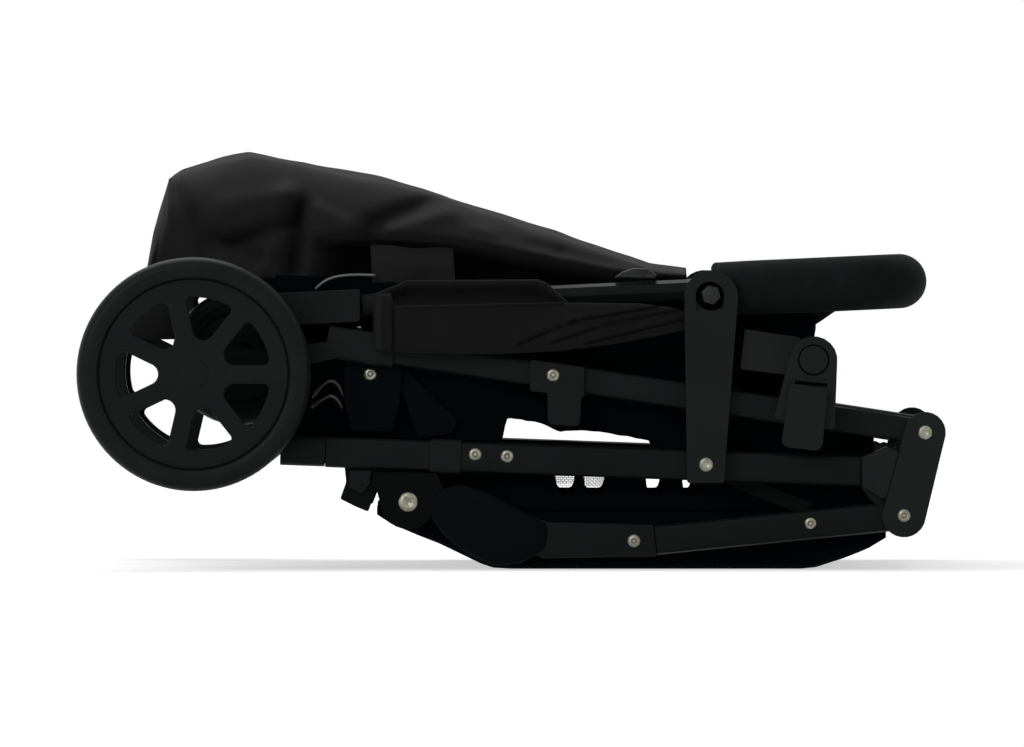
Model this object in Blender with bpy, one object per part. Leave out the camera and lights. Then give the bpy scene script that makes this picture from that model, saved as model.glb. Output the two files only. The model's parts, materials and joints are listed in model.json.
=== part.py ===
"""Folded side-by-side double stroller, lying flat on its seat slings.

Metres, +Z up. X runs from the wheels to the knee brackets, Y across the two seats.
The frame is the same on both sides, so each side piece is made near (-Y) and far (+Y).
"""
import math

import bmesh
import bpy
from mathutils import Matrix, Vector

# Gap that neighbouring pieces keep where they seat on each other
SEAT_GAP = 0.0003

# Pivots and axles in the side view, as (x, z)
REAR_AXLE = (-0.2603, 0.1603)
FRONT_AXLE = (-0.2243, 0.1734)
KNEE = (0.3391, 0.1123)
RAIL_PIVOT = (0.3218, 0.0443)
LINK_PIVOT = (0.1595, 0.0861)
LINK_TOP = (0.1636, 0.2234)
HANDLE_HINGE = (-0.1900, 0.2133)
REAR_TUBE_FOOT = (-0.1513, 0.1870)
BUTTON_CENTRE = (0.2476, 0.1718)

# Widths across the stroller, from the middle plane outwards
FRAME_INNER = 0.3060
TUBE_WIDTH = 0.0200
FRAME_OUTER = FRAME_INNER + TUBE_WIDTH
CASTING_STEP = 0.0020
RAIL_END_PROUD = 0.0010
PIVOT_PLATE_PROUD = 0.0005
PLATE_THICKNESS = 0.0060
LINK_THICKNESS = 0.0070
LINK_STANDOFF = 0.0040
LINK_INNER = FRAME_OUTER + LINK_STANDOFF
PIN_RADIUS = 0.0035

# Frame tubes
FRONT_TUBE_START = (-0.1526, 0.0963)
FRONT_TUBE_END = (0.2867, 0.0804)
FRONT_TUBE_HEIGHT = 0.0250
SOCKET_LENGTH = 0.0370
SOCKET_HEIGHT = 0.0240
COLLAR_START = 0.0858
COLLAR_LENGTH = 0.0254
COLLAR_WALL = 0.0012
BORE_OVERSHOOT = 0.0100
SOCKET_EDGE = 0.0060
REAR_TUBE_HEIGHT = 0.0215
END_PIECE_LENGTH = 0.0560
END_PIECE_HEIGHT = 0.0268
TUBE_PAST_KNEE = 0.0090
RAIL_HEIGHT = 0.0240
RAIL_END = (0.1180, 0.0238)
RAIL_END_STEP = 0.0010
TUBE_EDGE = 0.0045
CROSS_TUBE_RADIUS = 0.0110
SEAT_TUBE = (0.3020, 0.0800)
SEAT_TUBE_RADIUS = 0.0090
STRUT_WIDTH = 0.0200
STRUT_HEIGHT = 0.0220

# Castings, as corners (x, z, radius) from the point that each is made around
# From the front tube's end
KNEE_SOCKET = [(0.0013, 0.0110, 0.001), (0.0013, -0.0114, 0.001), (0.0213, 0.0186, 0.002),
               (0.0173, -0.0204, 0.002), (0.0333, 0.0126, 0.002), (0.0293, -0.0164, 0.002)]
KNEE_TOP_RADIUS = 0.0170
KNEE_FOOT_RADIUS = 0.0180
# From the lower rail's end
RAIL_ELBOW = [(-0.0900, 0.0092, 0.006), (-0.0900, -0.0088, 0.006)]
RAIL_TAIL = [(-0.1660, 0.0402, 0.003), (-0.1660, 0.0212, 0.003)]
RAIL_END_CORNER = 0.0010
# Pivot plate: its rivet, its round foot, its upper corners' x, and its outer tip from the rivet
PLATE_RIVET = (-0.0849, 0.0553)
PLATE_FOOT_RADIUS = 0.0225
PLATE_LEFT = -0.1120
PLATE_RIGHT = -0.0625
PLATE_TIP = (0.0304, 0.0007, 0.003)
PLATE_DROP = 0.0015
# From the rear tube's foot, and from the handle's hinge
ARM_ROOT = (0.0053, -0.0070, 0.0070)
AXLE_BOSS_RADIUS = 0.0150
EAR_FOOT = (0.0050, -0.0388, 0.0090)
EAR_RADIUS = 0.0100
EAR_DEPTH = 0.0035
EAR_RECESS = 0.0005
# From the clip's place along the rear tube
CLIP_PLACE = 0.1910
CLIP_THICKNESS = 0.0040
CLIP_SADDLE = [(-0.0205, 0.0118, 0.002), (0.0205, 0.0058, 0.002), (-0.0205, -0.0102, 0.002),
               (0.0205, -0.0152, 0.002)]
CLIP_TAB = [(-0.0055, -0.0082, 0.003), (0.0175, -0.0112, 0.003), (-0.0035, -0.0352, 0.0045),
            (0.0145, -0.0367, 0.0045)]
# From the centre of the release button
HOUSING_TOP_RADIUS = 0.0195
HOUSING_FOOT = [(-0.0291, -0.0458, 0.003), (0.0144, -0.0538, 0.003), (0.0156, -0.0038, 0.003)]
LOCK_BLOCK = [(-0.0546, 0.0232, 0.002), (-0.0126, 0.0167, 0.002), (-0.0581, -0.0058, 0.002),
              (-0.0176, -0.0108, 0.002)]
LEVER = [(-0.0171, -0.0223, 0.003), (0.0084, -0.0263, 0.003), (-0.0201, -0.0658, 0.006),
         (0.0014, -0.0683, 0.006)]
LEVER_HINGE = (-0.0046, -0.0238)
# From the link's top, and how far its foot reaches past the pivot
LINK_TOP_RADIUS = 0.0221
LINK_FOOT = [(-0.0135, -0.0131, 0.002), (0.0127, -0.0131, 0.002)]
LINK_POCKET = [(-0.0010, 0.0010, 0.0118), (-0.0100, -0.0090, 0.002), (0.0080, -0.0090, 0.002)]
POCKET_DEPTH = 0.0035

# Rear wheels
RIM_RADIUS = 0.0779
TYRE_DEPTH = 0.0180
REAR_RADIUS = RIM_RADIUS + TYRE_DEPTH
TYRE_WIDTH = 0.0380
WHEEL_STANDOFF = 0.0490
TYRE_OUTER_FACE = FRAME_OUTER + WHEEL_STANDOFF
HUB_RECESS = 0.0030
RIM_WIDTH = 0.0300
WEB_WIDTH = 0.0140
HUB_RADIUS = 0.0200
HUB_WIDTH = 0.0460
SPOKES = 7
SPOKE_TURN = -2.5
WINDOW_INNER = 0.0370
RIM_BAND = 0.0194
WINDOW_OUTER = RIM_RADIUS - RIM_BAND
WINDOW_HALF_ANGLE = 15.5
WINDOW_CORNER = 0.0050
AXLE_RADIUS = 0.0060
AXLE_PLAY = 0.0004
AXLE_DEPTH = 0.0300

# Front casters
CASTER_INSET = 0.0560
CASTER_MIDDLE = FRAME_INNER - CASTER_INSET
CASTER_RADIUS = 0.0560
CASTER_WIDTH = 0.0280
CASTER_BORE = 0.0038
FORK_GAP = 0.0060
FORK_ARM = 0.0040
FORK_CROWN_RADIUS = 0.0080
FORK_CROWN_REACH = 0.0664
STEM_RADIUS = 0.0050
STEM_LENGTH = 0.0300
CASTER_HOUSING_RADIUS = 0.0130
FRONT_CROSS = (-0.1220, 0.0960)

# Handle, whose arms run above the frame tubes' inner faces
HANDLE_MIDDLE = FRAME_INNER
HANDLE_START = (-0.1240, 0.2163)
HANDLE_CORNER = (0.3190, 0.2364)
HANDLE_RADIUS = 0.0095
HANDLE_BEND = 0.0450
# The bar slopes, so its square end needs a little more room at the sleeve
HANDLE_SEAT = 0.0008
GRIP_START = 0.1693
BEND_STEPS = 6
GRIP_RADIUS = 0.0225
SLEEVE_HEIGHT = 0.0270
SLEEVE_WIDTH = 0.0270
SLEEVE_CORNER = 0.0030

# Fold lock on the rear tubes
HOUSING_THICKNESS = 0.0180
LEVER_THICKNESS = 0.0070
BUTTON_RADIUS = 0.0117
BUTTON_PROUD = 0.0030
BUTTON_TRAVEL = 0.0030
BUTTON_HIDDEN = 0.0015
BUTTON_ROOM = 0.0020
BLOCK_INSET = 0.0040
BLOCK_KEY = 0.0010

# Rear cross tube and brake pedal
REAR_CROSS_PLACE = 0.0150
PEDAL_HALF_WIDTH = 0.0300
PEDAL_REACH = 0.0440
PEDAL_HALF_HEIGHT = 0.0060

# Soft parts
SEAT_SPLIT = 0.0080
CANOPY_UNDERSIDE = 0.2360
CANOPY_SEAT_DROP = 0.0130
CANOPY_HEM = 0.0040
CANOPY_START = -0.2980
CANOPY_LENGTH = 0.4440
CANOPY_CROWN = 0.0100
CANOPY_FOLD = 0.0040
CANOPY_TUCK = 0.0060
SLING_START = -0.1110
SLING_LENGTH = 0.4210
ROLL_CLEARANCE = 0.0008
ROLL_INNER = FRAME_OUTER + ROLL_CLEARANCE
ROLL_THICKNESS = 0.0180
ROLL_START = -0.1140
ROLL_LENGTH = 0.2620
ROLL_LOW = 0.1800
ROLL_HIGH = 0.2270
ROLL_END_DROP = 0.0080
ROLL_ARCH = 0.0040
ROLL_CREASE = 0.0030
BASKET_LIFT = 0.0004
BASKET_LENGTH = 0.0820
BASKET_INSET = 0.0210
BASKET_HEIGHT = 0.0560
BASKET_SLOPE = 0.0120
FLAP_START = 0.1860
FLAP_LENGTH = 0.0840
FLAP_LOW = 0.2060
FLAP_TOP = 0.2320
FLAP_SAG = 0.0120

RIVET_RADIUS = 0.0057
RIVET_HEAD = 0.0025

SIDES = (("near", -1), ("far", 1))

PARTS_NAME = "double_stroller"
CUTTERS_NAME = "cutters"


def clear_scene():
    for item in list(bpy.data.objects):
        bpy.data.objects.remove(item, do_unlink=True)


def make_collections():
    for name in (PARTS_NAME, CUTTERS_NAME):
        bpy.context.scene.collection.children.link(bpy.data.collections.new(name))


def make_material(name, colour, roughness, metallic=0.0):
    material = bpy.data.materials.new(name)
    material.use_nodes = True
    shader = material.node_tree.nodes["Principled BSDF"]
    shader.inputs["Base Color"].default_value = (*colour, 1.0)
    shader.inputs["Roughness"].default_value = roughness
    shader.inputs["Metallic"].default_value = metallic


def make_materials():
    make_material("painted_tube", (0.012, 0.013, 0.014), 0.42, 0.0)
    make_material("black_plastic", (0.016, 0.017, 0.018), 0.55)
    make_material("tyre_foam", (0.020, 0.021, 0.022), 0.70)
    make_material("grip_foam", (0.012, 0.012, 0.013), 0.85)
    make_material("rivet_steel", (0.35, 0.33, 0.30), 0.35, 1.0)
    make_material("black_fabric", (0.010, 0.010, 0.011), 0.90)


def finish(name, shape, material, smooth=30):
    """Turn a bmesh into a named object of the parts collection."""
    shape.normal_update()
    bmesh.ops.recalc_face_normals(shape, faces=shape.faces[:])
    mesh = bpy.data.meshes.new(name)
    shape.to_mesh(mesh)
    shape.free()
    mesh.materials.append(bpy.data.materials[material])
    mesh.shade_smooth()
    mesh.set_sharp_from_angle(angle=math.radians(smooth))
    item = bpy.data.objects.new(name, mesh)
    bpy.data.collections[PARTS_NAME].objects.link(item)
    return item


def set_origin(item, x, y, z):
    """Put a moving piece's origin on its joint without moving its mesh."""
    item.data.transform(Matrix.Translation((-x, -y, -z)))
    item.location = (x, y, z)


def boolean(item, other, operation):
    """Cut or join one finished object with another, which is then used up."""
    modifier = item.modifiers.new("boolean", "BOOLEAN")
    modifier.operation = operation
    modifier.solver = "EXACT"
    modifier.object = other
    bpy.context.view_layer.update()
    graph = bpy.context.evaluated_depsgraph_get()
    result = bpy.data.meshes.new_from_object(item.evaluated_get(graph))
    item.modifiers.clear()
    item.data = result
    bpy.data.objects.remove(other, do_unlink=True)
    return item


def side_range(side, inner, outer):
    """The y range of a piece that reaches from inner to outer on one side."""
    return (inner, outer) if side > 0 else (-outer, -inner)


def from_point(origin, corners):
    """Corners (x, z, radius) moved from the point that they are given from."""
    return [(origin[0] + x, origin[1] + z, radius) for x, z, radius in corners]


def arc_points(corners, steps):
    """Points round each corner, given as (x, z, radius)."""
    points = []
    for x, z, radius in corners:
        for step in range(steps):
            angle = 2 * math.pi * (step + 0.5) / steps
            points.append((x + radius * math.cos(angle), z + radius * math.sin(angle)))
    return points


def hull_shape(corners, y_low, y_high, steps=12):
    """A plate whose outline is the hull of round corners in the side view."""
    shape = bmesh.new()
    for x, z in arc_points(corners, steps):
        shape.verts.new((x, y_low, z))
        shape.verts.new((x, y_high, z))
    result = bmesh.ops.convex_hull(shape, input=shape.verts[:])
    inside = [v for v in result["geom_interior"] if isinstance(v, bmesh.types.BMVert)]
    unused = [v for v in shape.verts if not v.link_faces]
    bmesh.ops.delete(shape, geom=list(set(inside + unused)), context="VERTS")
    bmesh.ops.dissolve_limit(shape, angle_limit=math.radians(0.5), verts=shape.verts[:], edges=shape.edges[:])
    return shape


def hull_plate(name, corners, y_low, y_high, material, steps=12):
    return finish(name, hull_shape(corners, y_low, y_high, steps), material)


def box_tube(name, start, end, height, y_low, y_high, material, edge=TUBE_EDGE):
    """A flat-sided tube with rounded long edges, between two points of the side view."""
    length = math.hypot(end[0] - start[0], end[1] - start[1])
    tilt = math.atan2(end[1] - start[1], end[0] - start[0])
    shape = bmesh.new()
    bmesh.ops.create_cube(shape, size=1.0)
    bmesh.ops.scale(shape, vec=(length, y_high - y_low, height), verts=shape.verts[:])
    along = [e for e in shape.edges if abs(e.verts[0].co.x - e.verts[1].co.x) > length / 2]
    bmesh.ops.bevel(shape, geom=along, offset=edge, segments=2, profile=0.5, affect="EDGES", material=-1)
    middle = ((start[0] + end[0]) / 2, (y_low + y_high) / 2, (start[1] + end[1]) / 2)
    turn = Matrix.Translation(middle) @ Matrix.Rotation(-tilt, 4, "Y")
    bmesh.ops.transform(shape, matrix=turn, verts=shape.verts[:])
    return finish(name, shape, material)


def rod_shape(start, end, radius, segments):
    start = Vector(start)
    end = Vector(end)
    axis = end - start
    shape = bmesh.new()
    bmesh.ops.create_cone(shape, cap_ends=True, segments=segments, radius1=radius, radius2=radius,
                          depth=axis.length)
    turn = axis.to_track_quat("Z", "Y").to_matrix().to_4x4()
    bmesh.ops.transform(shape, matrix=Matrix.Translation((start + end) / 2) @ turn, verts=shape.verts[:])
    return shape


def rod(name, start, end, radius, material, segments=16):
    return finish(name, rod_shape(start, end, radius, segments), material)


def turned(name, profile, centre, side, face, segments, material):
    """Turn (radius, depth) points about an axle. Depth runs inwards from the outer face."""
    shape = bmesh.new()
    ring = []
    for radius, depth in profile:
        ring.append(shape.verts.new((centre[0] + radius, side * (face - depth), centre[1])))
    edges = [shape.edges.new(pair) for pair in zip(ring, ring[1:])]
    if profile[0][0] > 0:
        edges.append(shape.edges.new((ring[-1], ring[0])))
    bmesh.ops.spin(shape, geom=ring + edges, cent=(centre[0], 0, centre[1]), axis=(0, 1, 0),
                   angle=2 * math.pi, steps=segments, use_merge=True)
    bmesh.ops.remove_doubles(shape, verts=shape.verts[:], dist=0.00001)
    return finish(name, shape, material)


def point_along(start, end, distance):
    """The point this far from start on the way to end, in the side view."""
    length = math.hypot(end[0] - start[0], end[1] - start[1])
    share = distance / length
    return (start[0] + (end[0] - start[0]) * share, start[1] + (end[1] - start[1]) * share)


def point_beside(start, end, distance, across):
    """A point along the line from start to end, moved square to it, upwards where across is positive."""
    x, z = point_along(start, end, distance)
    length = math.hypot(end[0] - start[0], end[1] - start[1])
    return (x - (end[1] - start[1]) / length * across, z + (end[0] - start[0]) / length * across)


def soft_block(name, counts, place, material="black_fabric"):
    """A closed soft solid: a divided unit box whose points are placed by a rule."""
    shape = bmesh.new()
    bmesh.ops.create_cube(shape, size=1.0, matrix=Matrix.Translation((0.5, 0.5, 0.5)))
    for axis, count in enumerate(counts):
        normal = Vector((0, 0, 0))
        normal[axis] = 1.0
        for cut in range(1, count):
            everything = shape.verts[:] + shape.edges[:] + shape.faces[:]
            bmesh.ops.bisect_plane(shape, geom=everything, plane_co=normal * (cut / count), plane_no=normal)
    for vert in shape.verts:
        vert.co = place(*vert.co)
    return finish(name, shape, material, smooth=60)


def profile_height(points, x):
    """Height of a side-view outline at x."""
    for (x0, z0), (x1, z1) in zip(points, points[1:]):
        if x <= x1:
            return z0 + (z1 - z0) * (x - x0) / (x1 - x0)
    return points[-1][1]


def make_front_frame(label, side):
    low, high = side_range(side, FRAME_INNER, FRAME_OUTER)
    box_tube(f"front_tube_{label}", FRONT_TUBE_START, FRONT_TUBE_END, FRONT_TUBE_HEIGHT, low, high,
             "painted_tube")
    tip = point_along(FRONT_TUBE_START, FRONT_TUBE_END, -SOCKET_LENGTH)
    seat = point_along(FRONT_TUBE_START, FRONT_TUBE_END, -SEAT_GAP)
    box_tube(f"front_socket_{label}", tip, seat, SOCKET_HEIGHT, low, high, "black_plastic",
             edge=SOCKET_EDGE)
    make_collar(label, side)
    make_knee_bracket(label, side)
    box_tube(f"lower_rail_{label}", RAIL_END, RAIL_PIVOT, RAIL_HEIGHT, low, high, "painted_tube")
    make_rail_end(label, side)
    make_pivot_plate(label, side)


def make_collar(label, side):
    """Plastic collar round the front tube: an outer box with the tube's section cut out."""
    low, high = side_range(side, FRAME_INNER - SEAT_GAP - COLLAR_WALL, FRAME_OUTER + SEAT_GAP + COLLAR_WALL)
    start = point_along(FRONT_TUBE_START, FRONT_TUBE_END, COLLAR_START)
    end = point_along(FRONT_TUBE_START, FRONT_TUBE_END, COLLAR_START + COLLAR_LENGTH)
    height = FRONT_TUBE_HEIGHT + 2 * (SEAT_GAP + COLLAR_WALL)
    collar = box_tube(f"tube_collar_{label}", start, end, height, low, high, "black_plastic")
    bore_low, bore_high = side_range(side, FRAME_INNER - SEAT_GAP, FRAME_OUTER + SEAT_GAP)
    bore_start = point_along(FRONT_TUBE_START, FRONT_TUBE_END, COLLAR_START - BORE_OVERSHOOT)
    bore_end = point_along(FRONT_TUBE_START, FRONT_TUBE_END, COLLAR_START + COLLAR_LENGTH + BORE_OVERSHOOT)
    bore = box_tube("collar_bore", bore_start, bore_end, FRONT_TUBE_HEIGHT + 2 * SEAT_GAP,
                    bore_low, bore_high, "black_plastic")
    boolean(collar, bore, "DIFFERENCE")


def pin_hole(item, centre, side, inner, outer, radius):
    low, high = side_range(side, inner - BORE_OVERSHOOT, outer + BORE_OVERSHOOT)
    cutter = rod("hole", (centre[0], low, centre[1]), (centre[0], high, centre[1]), radius + SEAT_GAP,
                 "rivet_steel")
    boolean(item, cutter, "DIFFERENCE")


def make_rivet(name, centre, side, inner, outer, shank=PIN_RADIUS):
    """A rivet through everything from inner to outer, with a head on each end."""
    face = outer + SEAT_GAP + RIVET_HEAD
    grip = outer - inner + 2 * SEAT_GAP
    profile = [(0, 0), (RIVET_RADIUS * 0.7, 0.0004), (RIVET_RADIUS, RIVET_HEAD * 0.6),
               (RIVET_RADIUS, RIVET_HEAD), (shank, RIVET_HEAD), (shank, RIVET_HEAD + grip),
               (RIVET_RADIUS, RIVET_HEAD + grip), (RIVET_RADIUS, RIVET_HEAD * 1.6 + grip),
               (0, RIVET_HEAD * 1.8 + grip)]
    return turned(name, profile, centre, side, face, 14, "rivet_steel")


def make_knee_bracket(label, side):
    """Cast plate that carries the front tube's end and the two pivots."""
    low, high = side_range(side, FRAME_OUTER + SEAT_GAP, FRAME_OUTER + SEAT_GAP + PLATE_THICKNESS)
    plate_corners = [(*KNEE, KNEE_TOP_RADIUS), (*RAIL_PIVOT, KNEE_FOOT_RADIUS)]
    bracket = hull_plate(f"knee_bracket_{label}", plate_corners, low, high, "black_plastic", steps=24)
    low, high = side_range(side, FRAME_INNER - CASTING_STEP, FRAME_OUTER + PLATE_THICKNESS)
    socket = hull_plate("knee_socket", from_point(FRONT_TUBE_END, KNEE_SOCKET), low, high, "black_plastic",
                        steps=6)
    boolean(bracket, socket, "UNION")
    plate_outer = FRAME_OUTER + SEAT_GAP + PLATE_THICKNESS
    pin_hole(bracket, KNEE, side, FRAME_OUTER, plate_outer, PIN_RADIUS)
    make_rivet(f"knee_pivot_{label}", KNEE, side, FRAME_INNER, plate_outer)


def make_rail_end(label, side):
    """The wider flat end of the lower rail, bent up to the pivot plate."""
    low, high = side_range(side, FRAME_INNER - CASTING_STEP, FRAME_OUTER + RAIL_END_PROUD)
    reach = RAIL_HEIGHT / 2 + RAIL_END_STEP - RAIL_END_CORNER
    top = point_beside(RAIL_END, RAIL_PIVOT, -SEAT_GAP - RAIL_END_CORNER, reach)
    bottom = point_beside(RAIL_END, RAIL_PIVOT, -SEAT_GAP - RAIL_END_CORNER, -reach)
    elbow = from_point(RAIL_END, RAIL_ELBOW)
    straight = [(*top, RAIL_END_CORNER), (*bottom, RAIL_END_CORNER)] + elbow
    bend = elbow + from_point(RAIL_END, RAIL_TAIL)
    rail = hull_plate(f"rail_end_{label}", straight, low, high, "painted_tube")
    boolean(rail, hull_plate("rail_bend", bend, low, high, "painted_tube"), "UNION")


def make_pivot_plate(label, side):
    """Plate that hangs under the front tube, round its large rivet."""
    low, high = side_range(side, FRAME_INNER - CASTING_STEP, FRAME_OUTER + PIVOT_PLATE_PROUD)
    tube_line = [FRONT_TUBE_START, FRONT_TUBE_END]
    top = profile_height(tube_line, PLATE_RIGHT) - FRONT_TUBE_HEIGHT / 2 - PLATE_DROP
    corners = [(PLATE_LEFT, top - 0.001, 0.002), (PLATE_RIGHT, top - 0.002, 0.002),
               (*PLATE_RIVET, PLATE_FOOT_RADIUS)] + from_point(PLATE_RIVET, [PLATE_TIP])
    hull_plate(f"pivot_plate_{label}", corners, low, high, "painted_tube", steps=20)


def strut_line():
    start = (FRONT_CROSS[0] + CROSS_TUBE_RADIUS + SEAT_GAP, FRONT_CROSS[1])
    end = (SEAT_TUBE[0] - SEAT_TUBE_RADIUS - SEAT_GAP, SEAT_TUBE[1])
    return start, end


def make_cross_members():
    reach = FRAME_INNER - SEAT_GAP
    rod("front_cross_tube", (FRONT_CROSS[0], -reach, FRONT_CROSS[1]), (FRONT_CROSS[0], reach, FRONT_CROSS[1]),
        CROSS_TUBE_RADIUS, "painted_tube")
    reach = FRAME_INNER - CASTING_STEP - SEAT_GAP
    rod("seat_cross_tube", (SEAT_TUBE[0], -reach, SEAT_TUBE[1]), (SEAT_TUBE[0], reach, SEAT_TUBE[1]),
        SEAT_TUBE_RADIUS, "painted_tube")
    start, end = strut_line()
    box_tube("centre_strut", start, end, STRUT_HEIGHT, -STRUT_WIDTH / 2, STRUT_WIDTH / 2, "painted_tube")


def make_rear_frame(label, side):
    low, high = side_range(side, FRAME_INNER, FRAME_OUTER)
    start = point_along(REAR_TUBE_FOOT, KNEE, END_PIECE_LENGTH + SEAT_GAP)
    end = point_along(REAR_TUBE_FOOT, KNEE, math.dist(REAR_TUBE_FOOT, KNEE) + TUBE_PAST_KNEE)
    tube = box_tube(f"rear_tube_{label}", start, end, REAR_TUBE_HEIGHT, low, high, "painted_tube")
    pin_hole(tube, KNEE, side, FRAME_INNER, FRAME_OUTER, PIN_RADIUS)
    make_rear_end(label, side)
    make_tube_clip(label, side)
    make_fold_lock(label, side)


def make_rear_end(label, side):
    """Moulded end of the rear tube, its arm and axle, and the ear of the handle hinge."""
    low, high = side_range(side, FRAME_INNER - CASTING_STEP, FRAME_OUTER)
    foot_end = point_along(REAR_TUBE_FOOT, KNEE, END_PIECE_LENGTH)
    end = box_tube(f"rear_end_{label}", REAR_TUBE_FOOT, foot_end, END_PIECE_HEIGHT, low, high, "black_plastic",
                   edge=SOCKET_EDGE)
    arm_corners = [(*REAR_AXLE, AXLE_BOSS_RADIUS)] + from_point(REAR_TUBE_FOOT, [ARM_ROOT])
    low, high = side_range(side, FRAME_INNER, FRAME_OUTER - 2 * EAR_RECESS)
    boolean(end, hull_plate("arm", arm_corners, low, high, "black_plastic", steps=16), "UNION")
    ear_corners = [(*HANDLE_HINGE, EAR_RADIUS)] + from_point(HANDLE_HINGE, [EAR_FOOT])
    low, high = side_range(side, FRAME_OUTER - EAR_DEPTH, FRAME_OUTER - EAR_RECESS)
    boolean(end, hull_plate("ear", ear_corners, low, high, "black_plastic", steps=16), "UNION")
    hub_face = TYRE_OUTER_FACE - HUB_RECESS
    axle_low, axle_high = side_range(side, FRAME_OUTER - TUBE_WIDTH / 2, hub_face - HUB_WIDTH + AXLE_DEPTH)
    axle = rod("axle", (REAR_AXLE[0], axle_low, REAR_AXLE[1]), (REAR_AXLE[0], axle_high, REAR_AXLE[1]),
               AXLE_RADIUS, "rivet_steel")
    boolean(end, axle, "UNION")


def make_tube_clip(label, side):
    """Clip on the rear tube, with the tab that hangs from it."""
    low, high = side_range(side, FRAME_OUTER + SEAT_GAP, FRAME_OUTER + SEAT_GAP + CLIP_THICKNESS)
    place = point_along(REAR_TUBE_FOOT, KNEE, CLIP_PLACE)
    clip = hull_plate(f"tube_clip_{label}", from_point(place, CLIP_SADDLE), low, high, "black_plastic", steps=8)
    tab = hull_plate("clip_tab", from_point(place, CLIP_TAB), low, high, "black_plastic", steps=8)
    boolean(clip, tab, "UNION")


def make_fold_lock(label, side):
    """Hinge housing on the rear tube, with its block, round button and latch lever."""
    inner = FRAME_OUTER + SEAT_GAP
    outer = inner + HOUSING_THICKNESS
    low, high = side_range(side, inner, outer)
    x, z = BUTTON_CENTRE
    corners = [(x, z, HOUSING_TOP_RADIUS)] + from_point(BUTTON_CENTRE, HOUSING_FOOT)
    housing = hull_plate(f"hinge_housing_{label}", corners, low, high, "black_plastic", steps=20)
    low, high = side_range(side, FRAME_INNER - BLOCK_INSET, inner + BLOCK_KEY)
    block = hull_plate("block", from_point(BUTTON_CENTRE, LOCK_BLOCK), low, high, "black_plastic", steps=6)
    boolean(housing, block, "UNION")
    low, high = side_range(side, outer - BUTTON_TRAVEL - BUTTON_ROOM, outer + BORE_OVERSHOOT)
    pocket = rod("button_pocket", (x, low, z), (x, high, z), BUTTON_RADIUS + SEAT_GAP, "black_plastic", 24)
    boolean(housing, pocket, "DIFFERENCE")
    low, high = side_range(side, outer - BUTTON_HIDDEN, outer + BUTTON_PROUD - BUTTON_HIDDEN)
    button = rod(f"release_button_{label}", (x, low, z), (x, high, z), BUTTON_RADIUS, "black_plastic", 24)
    set_origin(button, x, 0, z)
    make_latch_lever(label, side, outer)


def make_latch_lever(label, side, housing_face):
    low, high = side_range(side, housing_face + SEAT_GAP, housing_face + SEAT_GAP + LEVER_THICKNESS)
    lever = hull_plate(f"latch_lever_{label}", from_point(BUTTON_CENTRE, LEVER), low, high, "black_plastic")
    set_origin(lever, BUTTON_CENTRE[0] + LEVER_HINGE[0], 0, BUTTON_CENTRE[1] + LEVER_HINGE[1])


def make_rear_cross():
    x, z = point_along(REAR_TUBE_FOOT, KNEE, REAR_CROSS_PLACE)
    reach = FRAME_INNER - CASTING_STEP - SEAT_GAP
    rod("rear_cross_tube", (x, -reach, z), (x, reach, z), CROSS_TUBE_RADIUS, "painted_tube")
    edge = x - CROSS_TUBE_RADIUS - SEAT_GAP
    corners = [(edge - 0.002, z + PEDAL_HALF_HEIGHT, 0.002), (edge - 0.002, z - PEDAL_HALF_HEIGHT, 0.002),
               (edge - PEDAL_REACH, z - 0.004, 0.004)]
    pedal = hull_plate("brake_pedal", corners, -PEDAL_HALF_WIDTH, PEDAL_HALF_WIDTH, "black_plastic")
    set_origin(pedal, x, 0, z)


def wheel_profile():
    half_rim = RIM_WIDTH / 2
    middle = TYRE_WIDTH / 2 - HUB_RECESS
    web = WEB_WIDTH / 2
    return [(0, 0), (HUB_RADIUS * 0.8, 0.0), (HUB_RADIUS, 0.002), (WINDOW_INNER, middle - web),
            (WINDOW_OUTER, middle - web), (RIM_RADIUS - 0.012, middle - half_rim + 0.001),
            (RIM_RADIUS, middle - half_rim), (RIM_RADIUS, middle + half_rim),
            (RIM_RADIUS - 0.012, middle + half_rim), (WINDOW_OUTER, middle + web), (HUB_RADIUS + 0.004, middle + web),
            (HUB_RADIUS, HUB_WIDTH), (AXLE_RADIUS + AXLE_PLAY, HUB_WIDTH),
            (AXLE_RADIUS + AXLE_PLAY, HUB_WIDTH - AXLE_DEPTH - 0.001), (0, HUB_WIDTH - AXLE_DEPTH - 0.001)]


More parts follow.
